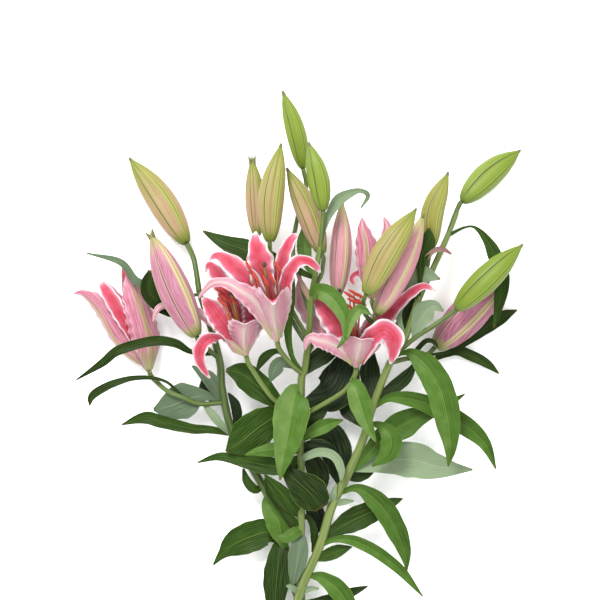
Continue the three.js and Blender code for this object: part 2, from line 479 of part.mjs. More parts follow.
// Points round a line, with radiusAt giving the distance for each angle. Half a side's turn puts a flat
// side downwards.
function ringRound(at, along, sides, radiusAt) {
  const reference = Math.abs(along.z) > 0.9 ? new THREE.Vector3(1, 0, 0) : UP;
  const side = new THREE.Vector3().crossVectors(along, reference).normalize();
  const other = new THREE.Vector3().crossVectors(along, side);
  return Array.from({ length: sides }, (_, i) => {
    const angle = ((i + 0.5) / sides) * 2 * Math.PI;
    const radius = radiusAt(angle);
    return at.clone()
      .addScaledVector(side, radius * Math.cos(angle))
      .addScaledVector(other, radius * Math.sin(angle));
  });
}

function tube(points, sides) {
  const stations = follow(points);
  const rings = stations.map(({ at, along, width }) => ringRound(at, along, sides, () => width / 2));
  return loft(rings, stations[0].at, stations.at(-1).at);
}

// A thin leaf or tepal along its line, as two strips meeting on the midrib. Its width lies along "side"
// where that is given, and otherwise level with the surface. cup lifts both margins, and roll turns the
// blade at its root.
function blade({ spine, side, roll = 0, cup = 0, thickness }) {
  const stations = follow(spine);
  const top = [];
  const bottom = [];
  stations.forEach(({ at, along, width }, row) => {
    const level = side
      ? side.clone().addScaledVector(along, -side.dot(along)).normalize()
      : new THREE.Vector3().crossVectors(along, UP).normalize();
    const share = THREE.MathUtils.smoothstep(row / (stations.length - 1), 0, ROLL_REACH);
    const right = level.applyAxisAngle(along, THREE.MathUtils.degToRad(roll * (1 - share)));
    const out = new THREE.Vector3().crossVectors(right, along);
    for (const edge of [-1, 0, 1]) {
      const middle = at.clone()
        .addScaledVector(right, (edge * width) / 2)
        .addScaledVector(out, (cup * edge * edge * width) / 2);
      top.push(middle.clone().addScaledVector(out, thickness / 2));
      bottom.push(middle.clone().addScaledVector(out, -thickness / 2));
    }
  });
  const columns = 3;
  const across = columns - 1;
  const under = top.length;
  const last = under - columns;
  const faces = [];
  for (let left = 0; left < last; left += columns) {
    for (let a = left; a < left + across; a += 1) {
      const [b, c, d] = [a + 1, a + columns + 1, a + columns];
      faces.push([a, b, c], [a, c, d]);
      faces.push([under + a, under + c, under + b], [under + a, under + d, under + c]);
    }
    const right = left + across;
    faces.push([left, left + columns, under + left + columns]);
    faces.push([left, under + left + columns, under + left]);
    faces.push([right, under + right + columns, right + columns]);
    faces.push([right, under + right, under + right + columns]);
  }
  for (let column = 0; column < across; column += 1) {
    const next = column + 1;
    faces.push([column, under + column, under + next], [column, under + next, next]);
    const [a, b] = [last + column, last + next];
    faces.push([a, under + b, under + a], [a, b, under + b]);
  }
  return solidOf([...top, ...bottom], faces);
}

// Joins solids into one. A hollow that this seals is filled, and a loose scrap is dropped.
function fuse(solids) {
  const bodies = wasm.Manifold.union(solids).decompose();
  return bodies.reduce((largest, body) => (body.volume() > largest.volume() ? body : largest));
}

// The stalk that carries a base. It ends short of it by the seat gap, square to the way that it faces.
function stalkTo(stalk, base, facing) {
  const width = stalk.at(-1)[3];
  const ends = [STALK_LEAD + SEAT_GAP, SEAT_GAP].map((back) => {
    const place = base.clone().addScaledVector(facing, -back);
    return [...place.toArray(), width];
  });
  return tube([...stalk, ...ends], STALK_SIDES);
}

function budPath(bud) {
  const points = bud.axis.map((place) => new THREE.Vector3(...place));
  return new THREE.CatmullRomCurve3(points, false, "catmullrom", 0.5);
}

function budBody(bud) {
  const path = budPath(bud);
  const profile = bud.open ? OPEN_PROFILE : BUD_PROFILE;
  const rings = profile.map(([share, size]) => {
    const radiusAt = (angle) => (bud.width / 2) * size * (1 + BUD_RIDGE * Math.cos(3 * angle));
    return ringRound(path.getPoint(share), path.getTangent(share), BUD_SIDES, radiusAt);
  });
  return loft(rings, path.getPoint(0), path.getPoint(1));
}

// Everything under the surface is cut away, which leaves a small flat where a bud lies on it.
function restOnSurface(solid) {
  const block = new THREE.BoxGeometry(1000, 1000, 100);
  block.translate(0, 0, -50);
  return solid.subtract(solidOfGeometry(block));
}

function budSolid(bud) {
  const whole = fuse([budBody(bud), ...(bud.tepals ?? []).map(tepal)]);
  return bud.grounded ? restOnSurface(whole) : whole;
}

function tepal({ face, outer = false, spine, roll, cup = TEPAL_CUP }) {
  const [root, nearTip] = [spine[0], spine.at(-2)].map(([x, y, z]) => new THREE.Vector3(x, y, z));
  const side = face && nearTip.sub(root).cross(new THREE.Vector3(...face)).normalize();
  return blade({ spine, side, roll, cup: outer ? -cup : cup, thickness: TEPAL_THICKNESS });
}

// A filament from the receptacle, arching up a little, and the anther across its end.
function stamen(start, end, lean) {
  const middle = start.clone().lerp(end, 0.5);
  middle.z += STAMEN_ARCH;
  const filament = tube([start, middle, end].map((place) => [...place.toArray(), FILAMENT_WIDTH]),
    STAMEN_SIDES);
  const half = new THREE.Vector3(...lean).setLength(ANTHER_LENGTH / 2);
  const anther = tube([
    [...end.clone().add(half).toArray(), LEAST_WIDTH],
    [...end.toArray(), ANTHER_WIDTH],
    [...end.clone().sub(half).toArray(), LEAST_WIDTH],
  ], STAMEN_SIDES);
  return [filament, anther];
}

function pistil(start, end) {
  const middle = start.clone().lerp(end, 0.5);
  middle.z += STAMEN_ARCH;
  const neck = start.clone().lerp(end, STIGMA_START);
  return tube([
    [...start.toArray(), STYLE_WIDTH],
    [...middle.toArray(), STYLE_WIDTH],
    [...neck.toArray(), STYLE_WIDTH],
    [...end.toArray(), STIGMA_WIDTH],
  ], PISTIL_SIDES);
}

function bloomSolid(bloom) {
  const base = new THREE.Vector3(...bloom.base);
  const facing = new THREE.Vector3(...bloom.facing).normalize();
  const top = base.clone().addScaledVector(facing, RECEPTACLE_LENGTH);
  const receptacle = tube([
    [...base.toArray(), RECEPTACLE_WIDTH.low],
    [...top.toArray(), RECEPTACLE_WIDTH.high],
  ], BUD_SIDES / 2);
  const heart = base.clone().addScaledVector(facing, RECEPTACLE_LENGTH * STAMEN_START);
  const stamens = bloom.anthers.flatMap((place) => {
    const end = new THREE.Vector3(...place);
    const outwards = end.clone().sub(heart);
    outwards.addScaledVector(facing, -outwards.dot(facing)).setLength(STAMEN_SPREAD);
    return stamen(heart.clone().add(outwards), end, bloom.lean);
  });
  return fuse([
    receptacle,
    ...bloom.tepals.map(tepal),
    ...stamens,
    pistil(heart, new THREE.Vector3(...bloom.stigma)),
  ]);
}

function stemSolid(name) {
  const pieces = [tube(STEMS[name], STEM_SIDES)];
  for (const leaf of LEAVES[name]) {
    pieces.push(blade({ thickness: LEAF_THICKNESS, ...leaf }));
  }
  for (const bud of BUDS.filter(({ stem }) => stem === name)) {
    pieces.push(stalkTo(bud.stalk, new THREE.Vector3(...bud.axis[0]), budPath(bud).getTangent(0)));
  }
  for (const bloom of BLOOMS.filter(({ stem }) => stem === name)) {
    const facing = new THREE.Vector3(...bloom.facing).normalize();
    pieces.push(stalkTo(bloom.stalk, new THREE.Vector3(...bloom.base), facing));
  }
  return fuse(pieces);
}

// The outline of a belt drawn tight round circles, as a polygon of tangent lines.
function beltOutline(circles, spare) {
  const reach = (angle) => Math.max(...circles.map(({ x, z, radius }) =>
    x * Math.cos(angle) + z * Math.sin(angle) + radius + spare));
  const step = (2 * Math.PI) / TIE_SIDES;
  return Array.from({ length: TIE_SIDES }, (_, i) => {
    const [first, second] = [i * step, (i + 1) * step];
    const [low, high] = [reach(first), reach(second)];
    const x = (low * Math.sin(second) - high * Math.sin(first)) / Math.sin(step);
    const z = (high * Math.cos(first) - low * Math.cos(second)) / Math.sin(step);
    return new THREE.Vector2(x, z);
  });
}

// A band of twine round the stems, just clear of them.
function tieSolid() {
  const circles = Object.values(STEMS).flatMap((points) => {
    const stations = follow(points, STEPS_TO_FIND_TIE);
    return [TIE_ENDS.low, TIE_ENDS.high].map((y) => {
      const nearest = stations.reduce((best, place) =>
        (Math.abs(place.at.y - y) < Math.abs(best.at.y - y) ? place : best));
      return { x: nearest.at.x, z: nearest.at.z, radius: STEM_RADIUS_AT_TIE };
    });
  });
  const shape = new THREE.Shape(beltOutline(circles, SEAT_GAP + TIE_THICKNESS));
  shape.holes.push(new THREE.Path(beltOutline(circles, SEAT_GAP)));
  const depth = TIE_ENDS.high - TIE_ENDS.low;
  const band = new THREE.ExtrudeGeometry(shape, { depth, bevelEnabled: false });
  band.rotateX(Math.PI / 2);
  band.translate(0, TIE_ENDS.high, 0);
  return solidOfGeometry(band);
}

function meshOf(name, solid, colour) {
  const { vertProperties, triVerts } = solid.getMesh();
  const geometry = new THREE.BufferGeometry();
  geometry.setAttribute("position", new THREE.BufferAttribute(vertProperties, 3));
  geometry.setIndex(new THREE.BufferAttribute(triVerts, 1));
  geometry.computeVertexNormals();
  const material = new THREE.MeshStandardMaterial({ color: colour, roughness: 0.6, metalness: 0 });
  const mesh = new THREE.Mesh(geometry, material);
  mesh.name = name;
  return mesh;
}

const bunch = new THREE.Group();
for (const name of Object.keys(STEMS)) {
  bunch.add(meshOf(name, stemSolid(name), COLOURS[name]));
}
for (const bud of BUDS) {
  bunch.add(meshOf(bud.name, budSolid(bud), COLOURS[bud.colour]));
}
for (const bloom of BLOOMS) {
  bunch.add(meshOf(bloom.name, bloomSolid(bloom), COLOURS.bloom));
}
bunch.add(meshOf("tie", tieSolid(), COLOURS.tie));
bunch.position.set(-BOX_MIDDLE.x, -BOX_MIDDLE.y, 0);

export default bunch;
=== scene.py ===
# Three cut lily stems, tied in a bunch and laid flat: the looks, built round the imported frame.
# The tables are in millimetres: x to the right and y along the stems towards the flowers, both from where
# the stems cross, and z up from the surface. A fourth number is the width or the diameter there.
import math
import random

import bpy
import numpy as np
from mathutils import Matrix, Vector


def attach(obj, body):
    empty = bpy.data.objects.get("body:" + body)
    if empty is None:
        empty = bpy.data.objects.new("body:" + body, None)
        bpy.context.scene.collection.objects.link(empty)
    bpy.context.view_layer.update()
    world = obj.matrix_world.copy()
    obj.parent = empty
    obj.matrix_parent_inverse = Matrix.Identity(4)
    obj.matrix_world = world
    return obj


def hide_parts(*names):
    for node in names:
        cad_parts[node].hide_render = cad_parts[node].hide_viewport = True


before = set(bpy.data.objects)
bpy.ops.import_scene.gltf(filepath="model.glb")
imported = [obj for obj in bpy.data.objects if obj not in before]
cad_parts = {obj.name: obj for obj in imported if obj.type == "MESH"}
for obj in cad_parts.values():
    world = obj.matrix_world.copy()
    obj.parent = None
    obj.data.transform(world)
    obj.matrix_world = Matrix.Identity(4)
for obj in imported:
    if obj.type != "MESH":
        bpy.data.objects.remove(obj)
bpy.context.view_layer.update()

# Driving dimensions, in millimetres
MM = 0.001
BOX_MIDDLE = (-2.5, 156.0)
LEAF_THICKNESS = 0.7
TEPAL_THICKNESS = 0.9
LEAST_WIDTH = 0.5
SEAT_GAP = 0.3
STALK_LEAD = 4.0
RECEPTACLE_LENGTH = 12.0
RECEPTACLE_WIDTHS = (7, 8)
STAMEN_SPREAD = 2.2
STAMEN_ARCH = 2.0
FILAMENT_WIDTH = 1.9
ANTHER_LENGTH = 15.0
ANTHER_WIDTH = 3.9
ANTHER_BOW = 1.2
STYLE_WIDTH = 2.2
STIGMA_WIDTH = 5.0
SPECK_RADIUS = 0.42
SPECK_HEIGHT = 0.4
SPECK_SINK = 0.1
FURROW_DEPTH = 0.7
POINT_SPREAD = 0.8
FIRST_SCAR = 12
SCAR_GAP = 14
SCARS_END = -34
SCAR_BOW = 0.6
SCAR_WIDTHS = (0.4, 1.6, 0.4)
TIE_ENDS = (-27.0, -15.0)
TIE_INSET = 1.2
TWINE_WIDTH = 2.0
TWINE_LIFT = 1.1
KNOT = (4.0, 33.0)
STEM_RADIUS_AT_TIE = 4.8

# Shares, counts and angles
TEPAL_CUP = 0.2
ROLL_REACH = 0.6
STAMEN_START = 0.6
BLOOM_RUFFLE = 0.09
BUD_RUFFLE = 0.03
LEAF_WAVE = 0.035
LEAF_TURNS = (6, 14)
TONE_SPREAD = 0.06
BUD_STALK_TONE = 0.25
BLOOM_STALK_TONE = 0.5
STRAND_DEPTH = 0.14
SCAR_TURN = 2.4
TIE_TURNS = 6
SPECKS = 46

# Fineness
LEAF_STEP = 2.5
LEAF_COLUMNS = 12
TEPAL_STEP = 1.8
TEPAL_COLUMNS = 20
STEM_STEP = 2.5
STEM_SIDES = 20
STALK_SIDES = 14
BUD_ROWS = 44
BUD_COLUMNS = 72
CURVE_STEPS = 24
BELT_POINTS = 120
TWINE_STEP = 0.7
TWINE_SIDES = 12
UP = np.array([0.0, 0.0, 1.0])

# How wide a bud is along its length, as shares of its length and of its greatest width, and the same for the
# slim core of one that has begun to open.
BUD_PROFILE = [
    [0, 0.3], [0.03, 0.45], [0.08, 0.6], [0.2, 0.84], [0.42, 1], [0.66, 0.87], [0.82, 0.58],
    [0.94, 0.25], [1, 0.04],
]
OPEN_PROFILE = [[0, 0.2], [0.12, 0.42], [0.35, 0.72], [0.6, 0.94], [0.85, 1], [1, 0.86]]

STEMS = {
    "stem_left": [
        [62, -196, 4.157, 9], [51, -160, 4.157, 9], [27, -90, 5.6, 9], [-3, 5, 7.2, 9], [-15, 50, 9.5, 9],
        [-25, 88, 12, 8.5], [-39, 116, 15, 8.5], [-67, 165, 21, 8], [-78, 210, 27, 8], [-80, 236, 30, 7.5],
        [-88, 268, 34, 7], [-101, 308, 38, 6],
    ],
    "stem_centre": [
        [0, -196, 9, 9.5], [1, -100, 12, 9.5], [1, 0, 17.2, 9], [1, 40, 20.5, 8], [1, 120, 30, 8],
        [1, 213, 48, 8], [5, 232, 54, 7], [9, 267, 68, 6.5], [11, 300, 76, 6], [16, 329, 80, 5.5],
        [20, 353, 82, 5],
    ],
    "stem_right": [
        [-58, -188, 11, 9.5], [-30, -100, 19, 9.5], [-2, 0, 27.2, 9], [20, 54, 31, 9], [32, 93, 34, 9],
        [48, 126, 38, 9], [63, 160, 42, 8.5], [73, 194, 46, 8], [89, 235, 50, 7.5], [105, 262, 52, 7],
        [119, 302, 52, 6.5], [129, 323, 48, 6], [142, 351, 40, 6], [149, 367, 34, 5.5], [157, 387, 27, 5],
    ],
}
STEM_TONES = {"stem_left": 0.1, "stem_centre": 0.5, "stem_right": 0.6}

# Each leaf: how light its green is, how far its margins lift as a share of its half width, and its line
# from the root to the tip. A pale, grey or dull leaf shows its underside, and a dried one is a withered
# bract. The shade tone is painted shade, the near black of leaves that lie in shade under others, and the
# grey tone paints an underside that lies partly in shade.
LEAVES = {
    "stem_left": [
        ("grey", 0.2, [[-101, 306, 38, 3], [-118, 302, 31, 5], [-138, 298, 34, 5], [-150, 312, 42, 9],
            [-165, 320, 43, 8], [-180, 338, 43, 7], [-214, 347, 36, 1.5]]),
        ("dark", 0.2, [[-94, 285, 36, 3], [-120, 284, 30, 6], [-142, 296, 44, 15], [-151, 313, 48, 19],
            [-150, 330, 47, 4]]),
        ("dark", 0.25, [[-84, 246, 31, 4], [-108, 248, 48, 5], [-125, 257, 53, 9], [-148, 259, 52, 10],
            [-181, 250, 50, 10], [-198, 237, 46, 8], [-224, 220, 38, 1.5]]),
        ("dark", 0.2, [[-116, 202, 32, 3], [-136, 219, 31, 3], [-164, 222, 31, 5], [-190, 215, 28, 8],
            [-208, 204, 24, 8], [-211, 194, 20, 1.5]]),
        ("grey", 0.15, [[-78, 200, 26, 4], [-96, 204, 27, 12], [-114, 200, 26, 36], [-132, 193, 22, 26],
            [-147, 190, 18, 3]]),
        ("rich", 0.25, [[-69, 166, 21, 5], [-90, 170, 26, 8], [-108, 171, 28, 10], [-138, 178, 30, 13],
            [-156, 182, 28, 12], [-179, 175, 22, 1.5]]),
        ("grey", 0.2, [[-78, 199, 26, 5], [-84, 212, 29, 14], [-93, 223, 31, 14], [-108, 234, 32, 2]]),
        ("shade", 0.2, [[-67, 166, 21, 4], [-63, 180, 26, 9], [-65, 195, 28, 10], [-72, 207, 27, 2]]),
        ("pale", 0.2, [[-69, 165, 21, 4], [-80, 176, 26, 8], [-90, 188, 28, 8], [-98, 198, 26, 2]]),
        ("shade", 0.2, [[-79, 196, 26, 4], [-86, 204, 24, 16], [-92, 214, 23, 22], [-97, 223, 23, 3]]),
        ("rich", 0.2, [[-38, 113, 15, 4], [-45, 110, 20, 9], [-53, 118, 22, 9], [-57, 131, 22, 2]]),
        ("mid", 0.2, [[-33, 104, 13, 6], [-31, 92, 21, 16], [-22, 80, 23, 27], [-19, 66, 22, 20],
            [-14, 49, 19, 3]]),
        ("rich", 0.2, [[-17, 57, 10, 5], [-30, 67, 15, 24], [-48, 63, 16, 31], [-66, 55, 14, 26],
            [-78, 45, 11, 10], [-87, 34, 9, 2]]),
        ("dark", 0.15, [[-18, 62, 10, 5], [-20, 50, 19, 18], [-23, 25, 21, 27], [-25, 0, 19, 20],
            [-26, -20, 15, 2]]),
    ],
    "stem_centre": [
        ("rich", 0.1, [[14, 322, 79, 4], [-8, 332, 66, 9], [-30, 341, 62, 16], [-55, 350, 61, 22],
            [-77, 358, 60, 14], [-97, 369, 56, 2]]),
        ("pale", 0.2, [[20, 351, 82, 4], [24, 372, 80, 5], [31, 389, 78, 9], [39, 400, 76, 12],
            [49, 406, 74, 9], [60, 409, 71, 5], [68, 404, 66, 5], [61, 392, 61, 1.5]]),
        ("bright", 0.15, [[15, 322, 79, 4], [8, 335, 56, 9], [5, 346, 45, 14], [4, 359, 42, 14],
            [3, 373, 40, 2]]),
        ("mid", 0.3, [[4, 226, 52, 4], [-8, 244, 60, 5], [-12, 270, 68, 8], [-9, 305, 74, 9],
            [-7, 332, 72, 2]]),
        ("dried", 0.3, [[11, 298, 76, 4], [4, 312, 82, 6], [-3, 326, 84, 1.5]]),
        ("fresh", 0.2, [[11, 300, 76, 5], [18, 309, 86, 15], [32, 302, 93, 18], [44, 284, 95, 14],
            [46, 266, 94, 8], [37, 252, 90, 1.5]]),
        ("fresh", 0.2, [[46, 262, 94, 4], [51, 280, 96, 10], [60, 291, 94, 10], [71, 285, 90, 1.5]]),
        ("dull", 0.3, [[1, 66, 24, 5], [0, 57, 30, 16], [-2, 42, 30, 20], [-5, 26, 28, 13], [-8, 13, 26, 2]]),
        ("bright", 0.3, [[1, 72, 24, 4], [-5, 67, 31, 12], [-14, 62, 32, 11], [-23, 63, 30, 2]]),
        ("rich", 0.15, [[1, 185, 42, 5], [-20, 196, 43, 12], [-40, 212, 43, 26], [-58, 226, 43, 24],
            [-74, 230, 42, 4]]),
        ("rich", 0.12, [[1, 176, 40, 5], [-20, 184, 39, 20], [-38, 175, 39, 36], [-56, 161, 39, 36],
            [-74, 148, 37, 3]]),
        ("bright", 0.15, [[1, 210, 47, 5], [-4, 207, 54, 22], [-8, 190, 59, 36], [-12, 165, 58, 30],
            [-17, 140, 54, 16], [-20, 120, 49, 1.5]]),
        ("light", 0.2, [[1, 148, 35, 4], [-14, 151, 43, 13], [-30, 150, 46, 14], [-45, 148, 47, 7],
            [-55, 145, 46, 1.5]]),
        ("dark", 0.1, [[1, 134, 32, 5], [-14, 130, 39, 8], [-3, 119, 43, 25], [8, 109, 42, 36],
            [17, 99, 40, 30], [22, 92, 38, 14]]),
        ("bright", 0.2, [[1, 160, 37, 5], [12, 168, 44, 12], [26, 175, 48, 14], [43, 180, 46, 1.5]]),
        ("shade", 0.1, [[1, 150, 35.5, 4], [9, 152, 41, 15], [20, 152, 43, 18], [31, 150, 43, 10],
            [39, 145, 42, 1.5]]),
        ("pale", 0.2, [[1, 138, 33, 4], [6, 143, 42, 7], [20, 148, 48, 9], [34, 144, 51, 9], [41, 131, 52, 8],
            [41, 118, 50, 1.5]]),
        ("rich", 0.2, [[-1, 84, 26, 5], [-10, 95, 33, 15], [-20, 108, 37, 16], [-36, 126, 39, 1.5]]),
        ("rich", 0.25, [[-1, 143, 34, 5], [-16, 133, 35, 14], [-36, 135, 34, 19], [-62, 140, 32, 12],
            [-82, 143, 28, 8], [-103, 137, 22, 1.5]]),
        ("dark", 0.3, [[2, 84, 25, 4], [10, 80, 24, 6], [15, 64, 22, 7], [12, 47, 21, 1.5]]),
        ("dark", 0.3, [[-14, 243, 66, 3], [-22, 249, 62, 5], [-30, 247, 58, 8], [-37, 241, 56, 9],
            [-44, 228, 52, 1.5]]),
        ("grey", 0.2, [[-4, 232, 56, 3], [-18, 238, 56, 12], [-25, 230, 54, 14], [-30, 218, 52, 1.5]]),
        ("shade", 0.2, [[3, 226, 52, 5], [14, 238, 50, 16], [28, 248, 50, 18], [42, 256, 50, 2]]),
        ("shade", 0.1, [[1, 196, 44, 5], [16, 200, 40, 20], [31, 206, 37, 38], [41, 221, 35, 40],
            [46, 239, 34, 24], [47, 252, 34, 3]]),
        ("shade", 0.1, [[1, 166, 38, 5], [15, 168, 31, 20], [30, 163, 27, 30], [37, 146, 25, 31],
            [39, 128, 24, 20], [40, 112, 24, 2]]),
        ("dark", 0.15, [[-1, 64, 24, 4], [-8, 78, 28, 11], [-20, 92, 30, 7], [-31, 108, 31, 7],
            [-35, 122, 31, 2]]),
        ("shade", 0.15, [[2, 100, 27, 4], [12, 92, 22, 16], [17, 80, 19, 18], [14, 66, 18, 8],
            [12, 56, 18, 2]]),
        ("shade", 0.1, [[1, 146, 35, 4], [9, 141, 29, 14], [17, 130, 26, 22], [19, 116, 25, 19],
            [18, 103, 24, 3]]),
        ("dark", 0.2, [[1, 165, 38, 4], [9, 176, 41, 12], [20, 187, 42, 12], [30, 196, 41, 2]]),
        ("bright", 0.2, [[48, 214.5, 54.5, 4], [50, 218, 67, 8], [55, 213, 74, 17], [60, 197, 76, 22],
            [67, 176, 74, 13], [76, 158, 71, 1.5]]),
    ],
    "stem_right": [
        ("rich", 0.15, [[118, 300, 54, 4], [120, 322, 57, 5], [121, 342, 58, 13], [127, 358, 58, 17],
            [129, 372, 56, 2]]),
        ("dried", 0.3, [[119, 302, 54, 3], [113, 322, 54, 4], [130, 346, 59, 5], [141, 351, 60, 5],
            [151, 346, 58, 1.5]]),
        ("pale", 0.15, [[105, 262, 52, 3], [98, 286, 50, 8], [101, 304, 52, 22], [111, 319, 54, 29],
            [124, 325, 55, 19], [140, 321, 54, 1.5]]),
        ("pale", 0.2, [[113, 261, 54, 3], [117, 272, 55, 12], [124, 287, 56, 22], [134, 294, 57, 12],
            [143, 289, 56, 1.5]]),
        ("rich", 0.1, [[149, 365, 35, 4], [163, 372, 37, 2.5], [174, 373, 38, 3], [185, 363, 38, 8],
            [194, 347, 38, 14], [202, 323, 39, 16], [200, 300, 38, 12], [194, 272, 34, 1.5]]),
        ("dark", 0.1, [[131, 245, 21, 3], [150, 248, 7, 4], [169, 258, 5, 6], [188, 273, 5, 13],
            [203, 283, 7, 13], [218, 290, 6, 1.5]]),
        ("shade", 0.15, [[71, 188, 45, 4], [72, 210, 38, 16], [70, 230, 34, 20], [73, 249, 32, 3]]),
        ("mid", 0.18, [[90, 240, 50, 3], [103, 247, 58, 4], [112, 246, 63, 12], [127, 233, 68, 25],
            [140, 210, 70, 28], [147, 182, 68, 26], [150, 155, 62, 14], [148, 134, 56, 1.5]]),
        ("mid", 0.2, [[74, 192, 46, 3], [88, 202, 50, 8], [105, 202, 52, 14], [128, 196, 51, 18],
            [150, 184, 49, 21], [170, 171, 46, 19], [186, 155, 42, 12], [196, 131, 36, 1.5]]),
        ("mid", 0.2, [[52, 128, 39, 4], [66, 144, 42, 12], [84, 163, 43, 22], [104, 176, 42, 28],
            [124, 186, 41, 17], [146, 195, 42, 10], [165, 206, 40, 1.5]]),
        ("light", 0.2, [[68, 176, 44, 3], [79, 175, 54, 8], [89, 166, 60, 18], [91, 155, 60, 22],
            [86, 145, 57, 16], [72, 134, 52, 1.5]]),
        ("pale", 0.12, [[50, 130, 39, 4], [70, 134, 38, 14], [92, 140, 37, 30], [113, 140, 36, 36],
            [135, 134, 35, 27], [155, 131, 33, 13], [173, 130, 30, 1.5]]),
        ("dark", 0.15, [[46, 122, 37, 4], [57, 125, 33, 16], [67, 133, 32, 18], [77, 146, 32, 3]]),
        ("shade", 0.2, [[75, 198, 46, 4], [88, 208, 47, 12], [102, 219, 49, 14], [110, 228, 51, 10],
            [115, 238, 51, 1.5]]),
        ("dark", 0.2, [[112, 241, 34, 3], [131, 240, 14, 4], [146, 245, 7, 6], [158, 249, 7, 10],
            [172, 244, 8, 11], [188, 236, 8, 9], [200, 226, 5, 1.5]]),
        ("dark", 0.2, [[108, 240, 38, 3], [117, 250, 39, 5], [126, 259, 38, 5], [134, 258, 34, 4],
            [138, 252, 30, 1.5]]),
        ("mid", 0.2, [[38, 106, 35, 4], [56, 112, 44, 8], [72, 103, 48, 18], [86, 88, 48, 22],
            [98, 66, 44, 20], [105, 46, 38, 12], [107, 29, 32, 1.5]]),
        ("rich", 0.15, [[22, 60, 31, 4], [36, 70, 32, 14], [52, 79, 32, 24], [72, 88, 30, 22],
            [90, 96, 28, 12], [103, 101, 24, 1.5]]),
        ("mid", 0.25, [[20, 54, 31, 4], [34, 60, 38, 6], [50, 60, 40, 10], [66, 54, 40, 12], [84, 43, 38, 12],
            [102, 28, 34, 10], [123, 3, 26, 1.5]]),
        ("rich", 0.2, [[14, 40, 30, 4], [26, 44, 32, 12], [38, 49, 34, 13], [52, 53, 34, 1.5]]),
        ("bright", 0.2, [[9, 24, 28.5, 4], [22, 22, 34, 12], [38, 10, 36, 20], [50, -8, 32, 16],
            [60, -28, 26, 1.5]]),
        ("dark", 0.2, [[-3, -4, 27, 4], [14, -4, 25, 10], [36, 1, 24, 13], [54, 8, 24, 9],
            [68, 13, 23, 1.5]]),
        ("pale", 0.4, [[33, 94, 34, 5], [33, 105, 41, 7], [36, 115, 42, 2]]),
        ("pale", 0.4, [[34, 96, 34, 5], [44, 98, 41, 7], [54, 99, 42, 1.5]]),
        ("dark", 0.15, [[90, 238, 50, 4], [97, 256, 42, 14], [105, 276, 41, 18], [114, 294, 42, 14],
            [121, 306, 43, 2]]),
        ("shade", 0.2, [[66, 172, 42, 4], [57, 181, 33, 12], [47, 190, 29, 16], [38, 195, 28, 3]]),
        ("pale", 0.4, [[0, 6, 27, 5], [-8, 12, 33, 6], [-14, 14, 34, 1.5]]),
        ("pale", 0.4, [[1, 6, 27, 5], [10, 11, 33, 6], [19, 11, 34, 1.5]]),
    ],
}

# A leaf's tone as a number, and the looks of its upper face and of its other one, where they aren't 0 and 1.
# The shade tone is painted shade, and grey an underside partly in painted shade.
TONES = {"shade": 0.0, "dark": 0.18, "rich": 0.34, "mid": 0.58, "light": 0.62, "bright": 0.65, "fresh": 0.72,
         "grey": 0.24, "dull": 0.3, "pale": 0.8, "dried": 0.5}
LOOKS = {"pale": (1, 0), "grey": (1, 0), "dull": (1, 0), "dried": (2, 2)}
